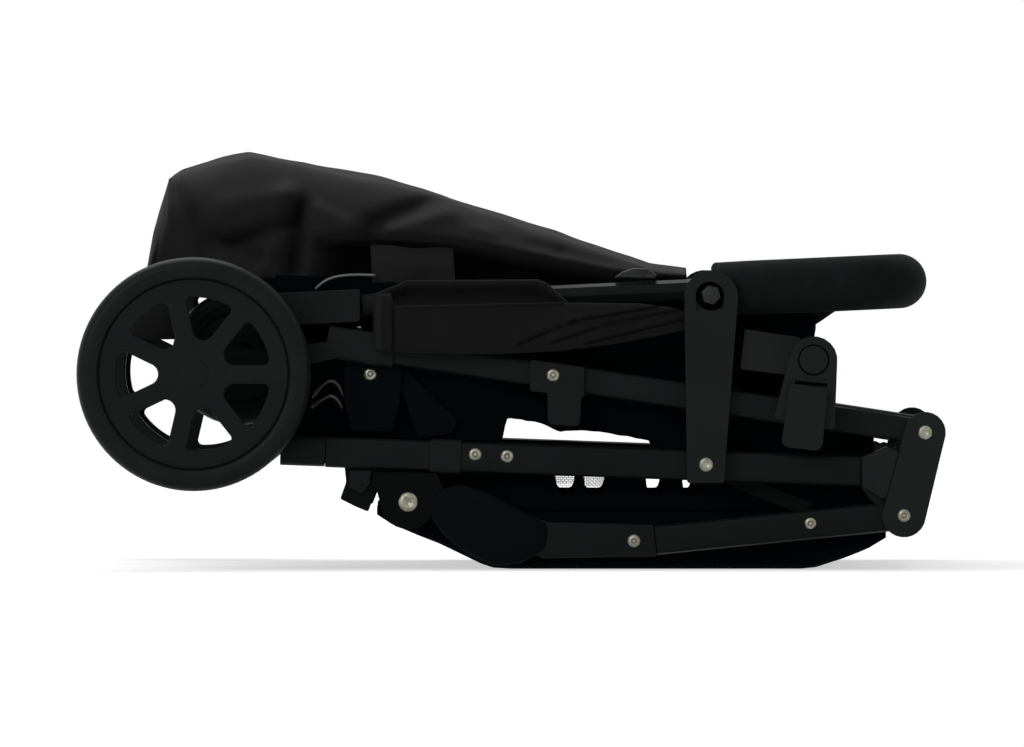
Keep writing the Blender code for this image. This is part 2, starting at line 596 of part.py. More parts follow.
def make_rear_wheel(label, side):
    face = TYRE_OUTER_FACE - HUB_RECESS
    wheel = turned(f"rear_wheel_{label}", wheel_profile(), REAR_AXLE, side, face, 42, "black_plastic")
    low, high = side_range(side, FRAME_OUTER - BORE_OVERSHOOT, TYRE_OUTER_FACE + BORE_OVERSHOOT)
    for spoke in range(SPOKES):
        turn = math.radians(SPOKE_TURN + 360 / SPOKES * (spoke + 0.5))
        half = math.radians(WINDOW_HALF_ANGLE)
        corners = []
        for reach, angle in ((WINDOW_INNER, turn), (WINDOW_OUTER, turn - half), (WINDOW_OUTER, turn + half)):
            corners.append((REAR_AXLE[0] + reach * math.cos(angle), REAR_AXLE[1] + reach * math.sin(angle),
                            WINDOW_CORNER))
        boolean(wheel, hull_plate("window", corners, low, high, "black_plastic", steps=10), "DIFFERENCE")
    set_origin(wheel, REAR_AXLE[0], 0, REAR_AXLE[1])
    inner = RIM_RADIUS + SEAT_GAP
    depth = TYRE_WIDTH
    profile = [(inner, 0.004), (inner + 0.004, 0.001), (inner + 0.009, 0.0), (REAR_RADIUS - 0.004, depth * 0.18),
               (REAR_RADIUS, depth * 0.42), (REAR_RADIUS, depth * 0.58), (REAR_RADIUS - 0.004, depth * 0.82),
               (inner + 0.009, depth), (inner + 0.004, depth - 0.001), (inner, depth - 0.004)]
    tyre = turned(f"rear_tyre_{label}", profile, REAR_AXLE, side, TYRE_OUTER_FACE, 42, "tyre_foam")
    set_origin(tyre, REAR_AXLE[0], 0, REAR_AXLE[1])


def caster_axis():
    """Unit direction of the caster's swivel, from the crown towards the cross tube."""
    direction = Vector((FRONT_CROSS[0] - FRONT_AXLE[0], 0, FRONT_CROSS[1] - FRONT_AXLE[1]))
    return direction.normalized()


def make_caster(label, side):
    axis = caster_axis()
    crown = Vector((FRONT_AXLE[0], 0, FRONT_AXLE[1])) + axis * FORK_CROWN_REACH
    half = CASTER_WIDTH / 2 + FORK_GAP / 2
    low, high = side_range(side, CASTER_MIDDLE - half - FORK_ARM, CASTER_MIDDLE + half + FORK_ARM)
    fork = hull_plate(f"caster_fork_{label}", [(crown.x, crown.z, FORK_CROWN_RADIUS)], low, high, "black_plastic")
    arm_corners = [(FRONT_AXLE[0], FRONT_AXLE[1], 0.0090), (crown.x, crown.z, FORK_CROWN_RADIUS - 0.0005)]
    for inner in (CASTER_MIDDLE - half - FORK_ARM, CASTER_MIDDLE + half):
        arm_low, arm_high = side_range(side, inner, inner + FORK_ARM)
        boolean(fork, hull_plate("arm", arm_corners, arm_low, arm_high, "black_plastic"), "UNION")
    pin_low, pin_high = side_range(side, CASTER_MIDDLE - half - FORK_ARM / 2, CASTER_MIDDLE + half + FORK_ARM / 2)
    pin = rod("pin", (FRONT_AXLE[0], pin_low, FRONT_AXLE[1]), (FRONT_AXLE[0], pin_high, FRONT_AXLE[1]),
              CASTER_BORE - AXLE_PLAY, "rivet_steel", 12)
    boolean(fork, pin, "UNION")
    middle = Vector((0, side * CASTER_MIDDLE, 0))
    stem_start = crown + middle + axis * (FORK_CROWN_RADIUS * 0.4)
    stem_end = crown + middle + axis * (FORK_CROWN_RADIUS + STEM_LENGTH)
    boolean(fork, rod("stem", stem_start, stem_end, STEM_RADIUS, "rivet_steel", 12), "UNION")
    set_origin(fork, crown.x, side * CASTER_MIDDLE, crown.z)

    to_cross = Vector((FRONT_CROSS[0] - crown.x, 0, FRONT_CROSS[1] - crown.z)).length
    top = crown + middle + axis * (FORK_CROWN_RADIUS + 0.0010)
    bottom = crown + middle + axis * (to_cross - CROSS_TUBE_RADIUS - SEAT_GAP)
    housing = rod(f"caster_housing_{label}", top, bottom, CASTER_HOUSING_RADIUS, "black_plastic", 20)
    bore_end = crown + middle + axis * (FORK_CROWN_RADIUS + STEM_LENGTH + 0.0010)
    bore = rod("bore", top - axis * 0.005, bore_end, STEM_RADIUS + AXLE_PLAY, "black_plastic", 12)
    boolean(housing, bore, "DIFFERENCE")

    face = CASTER_MIDDLE + CASTER_WIDTH / 2
    width = CASTER_WIDTH
    radius = CASTER_RADIUS
    profile = [(CASTER_BORE, 0), (0.012, 0), (0.014, 0.006), (radius * 0.70, 0.006), (radius * 0.76, 0.001),
               (radius * 0.9, 0.0015), (radius * 0.99, width * 0.3), (radius * 0.99, width * 0.7),
               (radius * 0.9, width - 0.0015), (radius * 0.76, width - 0.001), (radius * 0.70, width - 0.006),
               (0.014, width - 0.006), (0.012, width), (CASTER_BORE, width)]
    wheel = turned(f"front_wheel_{label}", profile, FRONT_AXLE, side, face, 28, "tyre_foam")
    set_origin(wheel, FRONT_AXLE[0], side * CASTER_MIDDLE, FRONT_AXLE[1])


def make_link(label, side):
    """Flat link between the front tube and the handle, with a D-shaped pocket at its top."""
    outer = LINK_INNER + LINK_THICKNESS
    low, high = side_range(side, LINK_INNER, outer)
    corners = [(*LINK_TOP, LINK_TOP_RADIUS)] + from_point(LINK_PIVOT, LINK_FOOT)
    link = hull_plate(f"handle_link_{label}", corners, low, high, "painted_tube", steps=28)
    low, high = side_range(side, outer - POCKET_DEPTH, outer + BORE_OVERSHOOT)
    pocket = hull_plate("pocket", from_point(LINK_TOP, LINK_POCKET), low, high, "painted_tube", steps=16)
    boolean(link, pocket, "DIFFERENCE")
    pin_hole(link, LINK_PIVOT, side, LINK_INNER, outer, PIN_RADIUS)
    tube = bpy.data.objects[f"front_tube_{label}"]
    pin_hole(tube, LINK_PIVOT, side, FRAME_INNER, FRAME_OUTER, PIN_RADIUS)
    make_rivet(f"link_pivot_{label}", LINK_PIVOT, side, FRAME_INNER, outer)
    set_origin(link, LINK_PIVOT[0], 0, LINK_PIVOT[1])


def handle_path(start_x):
    """Points of the handle's U, from start_x on the near side round to the far side."""
    slope = (HANDLE_CORNER[1] - HANDLE_START[1]) / (HANDLE_CORNER[0] - HANDLE_START[0])
    flat = [(start_x, -HANDLE_MIDDLE)]
    for side, first, last in ((-1, -90, 0), (1, 0, 90)):
        for step in range(BEND_STEPS + 1):
            angle = math.radians(first + (last - first) * step / BEND_STEPS)
            flat.append((HANDLE_CORNER[0] - HANDLE_BEND + HANDLE_BEND * math.cos(angle),
                         side * (HANDLE_MIDDLE - HANDLE_BEND) + HANDLE_BEND * math.sin(angle)))
    flat.append((start_x, HANDLE_MIDDLE))
    return [(x, y, HANDLE_START[1] + slope * (x - HANDLE_START[0])) for x, y in flat]


def swept(name, path, radius, sides_resolution, material):
    """A round tube along a path, made a closed mesh."""
    curve = bpy.data.curves.new(name, "CURVE")
    curve.dimensions = "3D"
    curve.bevel_depth = radius
    curve.bevel_resolution = sides_resolution
    curve.use_fill_caps = True
    spline = curve.splines.new("POLY")
    spline.points.add(len(path) - 1)
    for point, place in zip(spline.points, path):
        point.co = (*place, 1.0)
    guide = bpy.data.objects.new(name + "_curve", curve)
    bpy.data.collections[CUTTERS_NAME].objects.link(guide)
    bpy.context.view_layer.update()
    graph = bpy.context.evaluated_depsgraph_get()
    mesh = bpy.data.meshes.new_from_object(guide.evaluated_get(graph))
    shape = bmesh.new()
    shape.from_mesh(mesh)
    bmesh.ops.remove_doubles(shape, verts=shape.verts[:], dist=0.00001)
    bpy.data.objects.remove(guide, do_unlink=True)
    return finish(name, shape, material)


def make_handle():
    start_x = HANDLE_START[0] + HANDLE_SEAT
    bar = swept("handle_bar", handle_path(start_x), HANDLE_RADIUS, 2, "painted_tube")
    grip = swept("foam_grip", handle_path(GRIP_START), GRIP_RADIUS, 3, "grip_foam")
    bore = swept("grip_bore", handle_path(GRIP_START - BORE_OVERSHOOT), HANDLE_RADIUS + SEAT_GAP, 2, "grip_foam")
    boolean(grip, bore, "DIFFERENCE")
    x, z = HANDLE_HINGE
    for item in (bar, grip):
        set_origin(item, x, 0, z)
    for label, side in SIDES:
        low, high = side_range(side, HANDLE_MIDDLE - SLEEVE_WIDTH / 2, FRAME_OUTER - EAR_DEPTH - SEAT_GAP)
        half = SLEEVE_HEIGHT / 2
        mouth = HANDLE_START[0] - SLEEVE_CORNER
        corners = [(x, z, half), (mouth, HANDLE_START[1] + half - SLEEVE_CORNER, SLEEVE_CORNER),
                   (mouth, HANDLE_START[1] - half + SLEEVE_CORNER, SLEEVE_CORNER)]
        sleeve = hull_plate(f"handle_sleeve_{label}", corners, low, high, "black_plastic", steps=20)
        set_origin(sleeve, x, 0, z)


CANOPY_TOP = [(-0.298, 0.252), (-0.292, 0.282), (-0.280, 0.323), (-0.272, 0.328), (-0.217, 0.342),
              (-0.173, 0.333), (-0.108, 0.319), (-0.059, 0.303), (0.007, 0.280), (0.073, 0.260),
              (0.114, 0.249), (0.146, 0.243)]


def canopy_floor(x):
    """The canopy's underside: over the casters, then down beside the handle sleeve."""
    share = min(1.0, max(0.0, (x + 0.165) / 0.015))
    return CANOPY_UNDERSIDE - CANOPY_SEAT_DROP * share


def make_canopy(label, side):
    """Folded canopy: a crowned bag with soft cross folds, higher over the seat's middle."""
    sleeve_face = HANDLE_MIDDLE - SLEEVE_WIDTH / 2 - SEAT_GAP

    def place(u, v, w):
        x = CANOPY_START + CANOPY_LENGTH * u
        top = profile_height(CANOPY_TOP, x)
        floor = canopy_floor(x)
        edge = 4 * v * (1 - v)
        fold = CANOPY_FOLD * (math.sin(9.0 * u + 2.2 * v) * edge * (1 - u) - 1)
        crown = top - CANOPY_CROWN * (1 - edge) ** 2 + fold
        crown = max(crown, CANOPY_UNDERSIDE + CANOPY_HEM)
        tuck = CANOPY_TUCK * (1 - math.cos(math.pi * w)) / 2
        y = SEAT_SPLIT + (sleeve_face - SEAT_SPLIT) * v - tuck * (2 * v - 1)
        return (x, side * y, floor + (crown - floor) * w)
    soft_block(f"canopy_{label}", (18, 6, 3), place)


SLING_BOTTOM = [(-0.111, 0.045), (-0.098, 0.036), (-0.059, 0.020), (-0.026, 0.004), (-0.015, 0.0),
                (0.250, 0.0), (0.272, 0.008), (0.294, 0.018), (0.310, 0.026)]
SLING_TOP = [(-0.111, 0.052), (-0.080, 0.060), (0.280, 0.060), (0.310, 0.034)]


def make_sling(label, side):
    """Folded seat sling that hangs under the front tubes. The stroller lies on it."""
    rail_face = FRAME_INNER - CASTING_STEP - SEAT_GAP

    def place(u, v, w):
        x = SLING_START + SLING_LENGTH * u
        bottom = profile_height(SLING_BOTTOM, x)
        top = profile_height(SLING_TOP, x)
        y = SEAT_SPLIT + (rail_face - SEAT_SPLIT) * v
        z = bottom + (top - bottom) * w
        return (x, side * y, z)
    soft_block(f"seat_sling_{label}", (24, 3, 2), place)


def make_side_roll(label, side):
    """Rolled side panel that hangs outside the handle tube."""
    def place(u, v, w):
        x = ROLL_START + ROLL_LENGTH * u
        low = ROLL_LOW + ROLL_ARCH * math.sin(math.pi * u)
        high = ROLL_HIGH - ROLL_END_DROP * u
        thick = ROLL_THICKNESS * (1 - 0.9 * u ** 2)
        swell = math.sin(math.pi * (0.12 + 0.76 * w))
        outer = ROLL_INNER + thick * swell
        y = ROLL_INNER + (outer - ROLL_INNER) * v
        crease = ROLL_CREASE * abs(math.sin(14 * u + 5 * w)) * u * (1 - u) * v
        return (x, side * (y + crease), low + (high - low) * w)
    soft_block(f"side_roll_{label}", (14, 2, 5), place)


def make_basket():
    """Folded basket panel that lies on the centre strut."""
    strut_start, strut_end = strut_line()
    half_width = FRAME_INNER - BASKET_INSET

    def place(u, v, w):
        x = strut_start[0] + BASKET_LENGTH * u
        low = profile_height([strut_start, strut_end], x) + STRUT_HEIGHT / 2 + BASKET_LIFT
        return (x, half_width * (2 * v - 1), low + (BASKET_HEIGHT - BASKET_SLOPE * u) * w)
    soft_block("basket_panel", (3, 6, 2), place)


def make_grip_flap():
    """Fabric that hangs between the two arms of the foam grip."""
    grip_face = HANDLE_MIDDLE - GRIP_RADIUS - SEAT_GAP

    def place(u, v, w):
        x = FLAP_START + FLAP_LENGTH * u
        low = FLAP_LOW - FLAP_SAG * math.sin(math.pi * min(1.0, u * 1.4 + 0.1))
        return (x, grip_face * (2 * v - 1), low + (FLAP_TOP - low) * w)
    soft_block("grip_flap", (6, 4, 1), place)


def main():
    clear_scene()
    make_collections()
    make_materials()
    for label, side in SIDES:
        make_front_frame(label, side)
        make_rear_frame(label, side)
        make_rear_wheel(label, side)
        make_caster(label, side)
        make_link(label, side)
        make_canopy(label, side)
        make_sling(label, side)
        make_side_roll(label, side)
    make_cross_members()
    make_rear_cross()
    make_handle()
    make_basket()
    make_grip_flap()


main()
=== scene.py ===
"""Folded side-by-side stroller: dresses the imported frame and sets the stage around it."""

import json
import math

import bmesh
import bpy
from mathutils import Matrix, Vector, noise
from mathutils.bvhtree import BVHTree

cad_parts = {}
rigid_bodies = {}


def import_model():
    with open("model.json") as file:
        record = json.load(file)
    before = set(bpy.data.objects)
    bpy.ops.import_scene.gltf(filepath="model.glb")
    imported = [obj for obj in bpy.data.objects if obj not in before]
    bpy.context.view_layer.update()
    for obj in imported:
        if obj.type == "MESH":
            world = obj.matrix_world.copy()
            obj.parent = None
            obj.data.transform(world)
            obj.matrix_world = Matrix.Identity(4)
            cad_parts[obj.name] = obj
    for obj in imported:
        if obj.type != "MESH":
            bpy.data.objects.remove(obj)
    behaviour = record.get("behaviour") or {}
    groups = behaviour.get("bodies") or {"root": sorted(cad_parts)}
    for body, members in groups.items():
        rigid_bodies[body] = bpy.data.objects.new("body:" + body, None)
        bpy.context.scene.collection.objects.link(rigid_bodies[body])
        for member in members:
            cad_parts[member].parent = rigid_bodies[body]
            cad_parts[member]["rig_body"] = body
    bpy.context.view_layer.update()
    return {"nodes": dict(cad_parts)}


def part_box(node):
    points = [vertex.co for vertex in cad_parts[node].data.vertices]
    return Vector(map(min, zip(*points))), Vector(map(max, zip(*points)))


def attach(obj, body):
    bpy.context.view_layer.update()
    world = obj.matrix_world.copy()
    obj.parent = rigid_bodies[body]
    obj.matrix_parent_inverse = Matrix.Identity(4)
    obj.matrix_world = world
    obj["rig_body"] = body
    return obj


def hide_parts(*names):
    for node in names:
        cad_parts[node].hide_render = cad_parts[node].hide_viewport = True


for leftover in list(bpy.data.objects):
    bpy.data.objects.remove(leftover)
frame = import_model()

bl_info = {
    "name": "Folded Double Stroller",
    "version": (1, 0, 0),
    "blender": (4, 5, 0),
    "location": "3D View > Sidebar > Stroller",
    "description": "Dresses the packed stroller frame with its fabric, foam, moulded parts and fastenings",
    "category": "Object",
}

SIDES = (("near", -1), ("far", 1))
UV_NAME = "cloth"
# Name of the point attribute that holds the painted shade on cloths
SHADE_NAME = "fold_depth"
MERGE = 2e-6
# The photograph's frame: metres a pixel, and the pixel over the part's origin
PIXEL = 0.00082
PHOTO_ORIGIN = (511.5, 569.5)


def length(name, description, default, low, high):
    """A length that the user can set."""
    return bpy.props.FloatProperty(name=name, description=description, default=default, min=low, max=high,
                                   unit="LENGTH")


def colour(name, description, default):
    """A colour that the user can set."""
    return bpy.props.FloatVectorProperty(name=name, description=description, default=default, subtype="COLOR",
                                         size=3, min=0, max=1)


class StrollerSizes(bpy.types.PropertyGroup):
    """Sizes that a user of the part would change."""

    edge_radius: length("Edge radius", "Rounding on the edges of moulded parts", 0.0009, 0.0001, 0.003)
    plate_edge_radius: length("Plate edge radius", "Rounding on the edges of flat metal plates",
                              0.0007, 0.0001, 0.003)
    rivet_radius: length("Rivet radius", "Radius of the small rivet heads", 0.0053, 0.002, 0.009)
    pivot_rivet_radius: length("Pivot rivet radius", "Radius of the large rivet on the pivot plate",
                               0.0078, 0.003, 0.012)
    cloth_thickness: length("Cloth thickness", "Thickness of the outer fabric", 0.0012, 0.0004, 0.003)
    webbing_width: length("Webbing width", "Width of the harness straps", 0.025, 0.01, 0.05)
    weave_pitch: length("Weave pitch", "Distance between two threads of the outer fabric",
                        0.0011, 0.0004, 0.004)
    fold_depth: bpy.props.FloatProperty(
        name="Fold depth", description="Share of the full depth of the folds in the canopies",
        default=1.0, min=0.0, max=1.5, subtype="FACTOR")


class StrollerColours(bpy.types.PropertyGroup):
    """Colours of the finishes."""

    tube: colour("Tube", "Paint on the metal tubes and plates", (0.0062, 0.0084, 0.0080))
    plastic: colour("Plastic", "Moulded brackets, hubs and levers", (0.0068, 0.0090, 0.0086))
    tyre: colour("Tyre", "Foam rubber of the tyres", (0.0062, 0.0086, 0.0076))
    foam: colour("Grip foam", "Foam on the handle", (0.0075, 0.0092, 0.0092))
    fabric: colour("Fabric", "Canopies", (0.0190, 0.0186, 0.0188))
    panel: colour("Panels", "Rolled side panels and the cloth on the handle", (0.0105, 0.0103, 0.0102))
    lining: colour("Lining", "Seat slings and basket", (0.0020, 0.0036, 0.0045))
    rivet: colour("Rivets", "Steel of the rivets and screws", (0.33, 0.32, 0.26))


def smooth_step(value):
    """0 below 0, 1 above 1, and a soft curve between."""
    value = min(1.0, max(0.0, value))
    return value * value * (3 - 2 * value)


def scaled(points):
    """Side view points of the photograph's frame, in metres."""
    return [((x - PHOTO_ORIGIN[0]) * PIXEL, (PHOTO_ORIGIN[1] - y) * PIXEL) for x, y in points]


def height_at(points, x):
    """Height of an outline of (x, height) points, straight between them."""
    if x <= points[0][0]:
        return points[0][1]
    for (x0, z0), (x1, z1) in zip(points, points[1:]):
        if x <= x1:
            return z0 + (z1 - z0) * (x - x0) / (x1 - x0)
    return points[-1][1]


def along(points, share):
    """The point at a share of the length of a line of points."""
    spots = [Vector(p) for p in points]
    steps = [(b - a).length for a, b in zip(spots, spots[1:])]
    left = share * sum(steps)
    for (a, b), step in zip(zip(spots, spots[1:]), steps):
        if left <= step:
            return a.lerp(b, left / step)
        left -= step
    return spots[-1]


def line_length(points):
    """Length of a line of points."""
    spots = [Vector(p) for p in points]
    return sum((b - a).length for a, b in zip(spots, spots[1:]))


def crease(x, z, start, end, width):
    """1 on the line from start to end in side view, falling off softly to its sides."""
    a, b, p = Vector(start), Vector(end), Vector((x, z))
    run = b - a
    share = min(1.0, max(0.0, (p - a).dot(run) / run.length_squared))
    return math.exp(-((p - a - run * share).length / width) ** 2)


def overlap(x, z, start, end, reach):
    """1 just above the line from start to end in side view, falling off upwards, and 0 below the line."""
    a, b, p = Vector(start), Vector(end), Vector((x, z))
    run = b - a
    share = (p - a).dot(run) / run.length_squared
    height = run.normalized().cross(p - a)
    past_end, fade_length, step = 0.12, 0.15, 0.0007
    fade = smooth_step((share + past_end) / fade_length) * smooth_step((1 + past_end - share) / fade_length)
    return fade * smooth_step((height + step) / (2 * step)) * math.exp(-max(0.0, height) / reach)


def ripple(point, scale, shift=0.0):
    """Soft noise between about -1 and 1."""
    return noise.noise(Vector(point) * scale + Vector((shift, shift * 1.7, -shift)))


def new_piece(name, shape, body, material, slot=None, stands_for=(), smooth=True):
    """Makes an object from a bmesh and puts it on its body."""
    mesh = bpy.data.meshes.new(name)
    shape.to_mesh(mesh)
    shape.free()
    piece = bpy.data.objects.new(name, mesh)
    bpy.context.scene.collection.objects.link(piece)
    mesh.materials.append(bpy.data.materials[material])
    if smooth:
        for face in mesh.polygons:
            face.use_smooth = True
    if body:
        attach(piece, body)
    if stands_for:
        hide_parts(*stands_for)
    return piece


def body_of_node(node):
    """Name of the body that carries a CAD node."""
    return frame["nodes"][node]["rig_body"]


def node_box(node, side):
    """A CAD node's middle, its size, and how far out its outer face lies."""
    low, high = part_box(node)
    return (low + high) / 2, high - low, low.y if side < 0 else high.y


def mark_sharp(shape, angle):
    """Keeps a crisp line where two faces meet at more than the angle, in degrees."""
    for edge in shape.edges:
        if len(edge.link_faces) == 2:
            edge.smooth = edge.calc_face_angle(0.0) < math.radians(angle)


def add_weighted_normals(piece):
    """Flat faces keep a flat shade beside their rounded edges."""
    modifier = piece.modifiers.new("even_shade", "WEIGHTED_NORMAL")
    modifier.keep_sharp = True
    modifier.weight = 80


def rounded(shape, edges, radius):
    """Rounds some edges of a shape."""
    bmesh.ops.bevel(shape, geom=edges, offset=radius, offset_type="OFFSET", affect="EDGES", segments=2,
                    profile=0.5, material=-1, clamp_overlap=True)


def rounded_shell(node, radius, material, slot):
    """A CAD node's shape with small rounded edges, shown in the node's place."""
    flat_angle, rounded_angle, sharp_angle = 1.2, 34.0, 50
    shape = bmesh.new()
    shape.from_mesh(frame["nodes"][node].data)
    bmesh.ops.remove_doubles(shape, verts=shape.verts, dist=MERGE)
    for edge in shape.edges:
        edge.smooth = True
    bmesh.ops.dissolve_limit(shape, angle_limit=math.radians(flat_angle), verts=shape.verts,
                             edges=shape.edges)
    limit = math.radians(rounded_angle)
    edges = [e for e in shape.edges if len(e.link_faces) == 2 and e.calc_face_angle(0.0) > limit]
    rounded(shape, edges, radius)
    bmesh.ops.remove_doubles(shape, verts=shape.verts, dist=5e-6)
    mark_sharp(shape, sharp_angle)
    add_weighted_normals(new_piece(f"{node}_shell", shape, body_of_node(node), material, slot, (node,)))


def sheet_shape(columns, rows, place, lengths):
    """A divided sheet whose points are put in place by a rule of u and v, with a map in metres."""
    shape = bmesh.new()
    layer = shape.loops.layers.uv.new(UV_NAME)
    bmesh.ops.create_grid(shape, x_segments=columns, y_segments=rows, size=0.5)
    for face in shape.faces:
        for loop in face.loops:
            u, v = loop.vert.co.x + 0.5, loop.vert.co.y + 0.5
            loop[layer].uv = (u * lengths[0], v * lengths[1])
    for vertex in shape.verts:
        vertex.co = place(vertex.co.x + 0.5, vertex.co.y + 0.5)
    shape.normal_update()
    return shape


def closed_shape(columns, rows, place, lengths):
    """A divided sheet closed on itself round its second way, with both ends filled."""
    shape = sheet_shape(columns, rows, place, lengths)
    bmesh.ops.remove_doubles(shape, verts=shape.verts, dist=1e-5)
    bmesh.ops.holes_fill(shape, edges=[e for e in shape.edges if e.is_boundary], sides=0)
    bmesh.ops.triangulate(shape, faces=[f for f in shape.faces if len(f.verts) > 4])
    bmesh.ops.recalc_face_normals(shape, faces=shape.faces)
    return shape


def mirrored(piece, body, slot="black_fabric", stands_for=()):
    """The same piece on the far side."""
    shape = bmesh.new()
    shape.from_mesh(piece.data)
    bmesh.ops.scale(shape, vec=(1, -1, 1), verts=shape.verts)
    bmesh.ops.reverse_faces(shape, faces=shape.faces)
    name = piece.name.replace("_near", "_far")
    copy = new_piece(name, shape, body, piece.data.materials[0].name, slot, stands_for)
    for modifier in piece.modifiers:
        twin = copy.modifiers.new(modifier.name, modifier.type)
        twin.thickness, twin.offset, twin.use_rim = modifier.thickness, modifier.offset, modifier.use_rim
    return copy


def thicken(piece, thickness, offset=0.0):
    """Gives a sheet its thickness."""
    modifier = piece.modifiers.new("thickness", "SOLIDIFY")
    modifier.thickness = thickness
    modifier.offset = offset
    modifier.use_rim = True


def soft_pair(name, shape, body, material, node=None, thickness=None, offset=0.0, shade=None):
    """A cloth and its mirror image, with the label of each side. Node is the CAD node that it replaces."""
    bmesh.ops.recalc_face_normals(shape, faces=shape.faces)
    near = new_piece(f"{name}_near", shape, body, material, "black_fabric", (f"{node}_near",) if node else ())
    if shade:
        shade_cloth(near, shade)
    if thickness:
        thicken(near, thickness, offset)
    far = mirrored(near, body, stands_for=(f"{node}_far",) if node else ())
    return (near, "near"), (far, "far")


def tube_piece(name, points, radius, body, material, slot):
    """A wire or piping along a smooth line of points, made a mesh."""
    curve = bpy.data.curves.new(name, "CURVE")
    curve.dimensions = "3D"
    curve.bevel_depth = radius
    curve.bevel_resolution = 2
    curve.use_fill_caps = True
    curve.resolution_u = 6
    spline = curve.splines.new("NURBS")
    spline.points.add(len(points) - 1)
    for spot, point in zip(spline.points, points):
        spot.co = (*point, 1.0)
    spline.order_u = 3
    spline.use_endpoint_u = True
    holder = bpy.data.objects.new(name, curve)
    bpy.context.scene.collection.objects.link(holder)
    bpy.context.view_layer.update()
    shape = bmesh.new()
    shape.from_mesh(bpy.data.meshes.new_from_object(holder))
    bpy.data.objects.remove(holder)
    bmesh.ops.remove_doubles(shape, verts=shape.verts, dist=1e-6)
    bmesh.ops.recalc_face_normals(shape, faces=shape.faces)
    return new_piece(name, shape, body, material, slot)


def turned_shape(shape, profile, centre, axis, steps):
    """Turns a line of (radius, height) points about an axis through the centre."""
    axis = Vector(axis).normalized()
    across = axis.orthogonal().normalized()
    centre = Vector(centre)
    spots = [shape.verts.new(centre + across * r + axis * h) for r, h in profile]
    edges = [shape.edges.new(pair) for pair in zip(spots, spots[1:])]
    bmesh.ops.spin(shape, geom=spots + edges, cent=centre, axis=axis, dvec=(0, 0, 0), angle=2 * math.pi,
                   steps=steps, use_merge=True, use_duplicate=False)


def turned_piece(name, profile, centre, axis, steps, body, finish, stands_for=()):
    """A piece turned about an axis. Finish is its material and its slot, and the slot is not used."""
    shape = bmesh.new()
    turned_shape(shape, profile, centre, axis, steps)
    bmesh.ops.remove_doubles(shape, verts=shape.verts, dist=MERGE)
    bmesh.ops.recalc_face_normals(shape, faces=shape.faces)
    mark_sharp(shape, 38)
    return new_piece(name, shape, body, *finish, stands_for)


def plate_piece(name, outline, near_y, far_y, radius, body, finish):
    """A plate cut to an outline in side view, with rounded edges. Finish is its material and its slot, and
    the slot is not used.
    """
    shape = bmesh.new()
    face = shape.faces.new([shape.verts.new((x, near_y, z)) for x, z in outline])
    made = bmesh.ops.extrude_face_region(shape, geom=[face])
    moved = [item for item in made["geom"] if isinstance(item, bmesh.types.BMVert)]
    bmesh.ops.translate(shape, vec=(0, far_y - near_y, 0), verts=moved)
    bmesh.ops.recalc_face_normals(shape, faces=shape.faces)
    rounded(shape, list(shape.edges), radius)
    mark_sharp(shape, 50)
    add_weighted_normals(new_piece(name, shape, body, *finish))


def face_depth(node, x, z, side):
    """How far out a CAD node's outer face is at a point of the side view."""
    mesh = frame["nodes"][node].data
    tree = BVHTree.FromPolygons([v.co for v in mesh.vertices], [p.vertices for p in mesh.polygons])
    spot, _, _, _ = tree.ray_cast(Vector((x, side * 1.0, z)), Vector((0, -side, 0)))
    if spot is None:
        raise RuntimeError(f"{node} has no face at {x}, {z}")
    return spot.y


def new_group(name, inputs, outputs):
    """A node group with named number sockets and a vector to read."""
    tree = bpy.data.node_groups.new(name, "ShaderNodeTree")
    tree.interface.new_socket(name="Vector", in_out="INPUT", socket_type="NodeSocketVector")
    for label, default in inputs:
        socket = tree.interface.new_socket(name=label, in_out="INPUT", socket_type="NodeSocketFloat")
        socket.default_value = default
    for label in outputs:
        tree.interface.new_socket(name=label, in_out="OUTPUT", socket_type="NodeSocketFloat")
    return tree, tree.nodes.new("NodeGroupInput"), tree.nodes.new("NodeGroupOutput")


def feed(tree, socket, value):
    """Gives a socket a number, or links it to another socket."""
    if isinstance(value, (int, float)):
        socket.default_value = value
    else:
        tree.links.new(value, socket)


def math_node(tree, operation, first, second=None):
    """A math node fed by sockets or numbers."""
    node = tree.nodes.new("ShaderNodeMath")
    node.operation = operation
    feed(tree, node.inputs[0], first)
    if second is not None:
        feed(tree, node.inputs[1], second)
    return node.outputs[0]


def noise_node(tree, vector, scale, detail, roughness=0.5):
    """A noise texture's value."""
    node = tree.nodes.new("ShaderNodeTexNoise")
    for name, value in (("Detail", detail), ("Roughness", roughness), ("Vector", vector), ("Scale", scale)):
        feed(tree, node.inputs[name], value)
    return node.outputs["Fac"]


def range_node(tree, value, **limits):
    """A value spread from one range to another. The limits are From Min and the like, with underscores."""
    node = tree.nodes.new("ShaderNodeMapRange")
    for name, limit in limits.items():
        node.inputs[name.replace("_", " ")].default_value = limit
    tree.links.new(value, node.inputs["Value"])
    return node


def build_grain_group():
    """Fine moulded grain, broad patches and light scuffs."""
    tree, start, end = new_group("surface_grain", (("Grain Scale", 1800.0), ("Patch Scale", 14.0)),
                                 ("Height", "Patches", "Scuffs"))
    vector = start.outputs["Vector"]
    patches = noise_node(tree, vector, start.outputs["Patch Scale"], 5.0, 0.6)
    scratches = noise_node(tree, vector, 160.0, 6.0, 0.75)
    spread = range_node(tree, patches, From_Min=0.32, From_Max=0.68)
    scuffed = range_node(tree, scratches, From_Min=0.60, From_Max=0.78)
    tree.links.new(noise_node(tree, vector, start.outputs["Grain Scale"], 2.0), end.inputs["Height"])
    tree.links.new(spread.outputs["Result"], end.inputs["Patches"])
    tree.links.new(scuffed.outputs["Result"], end.inputs["Scuffs"])


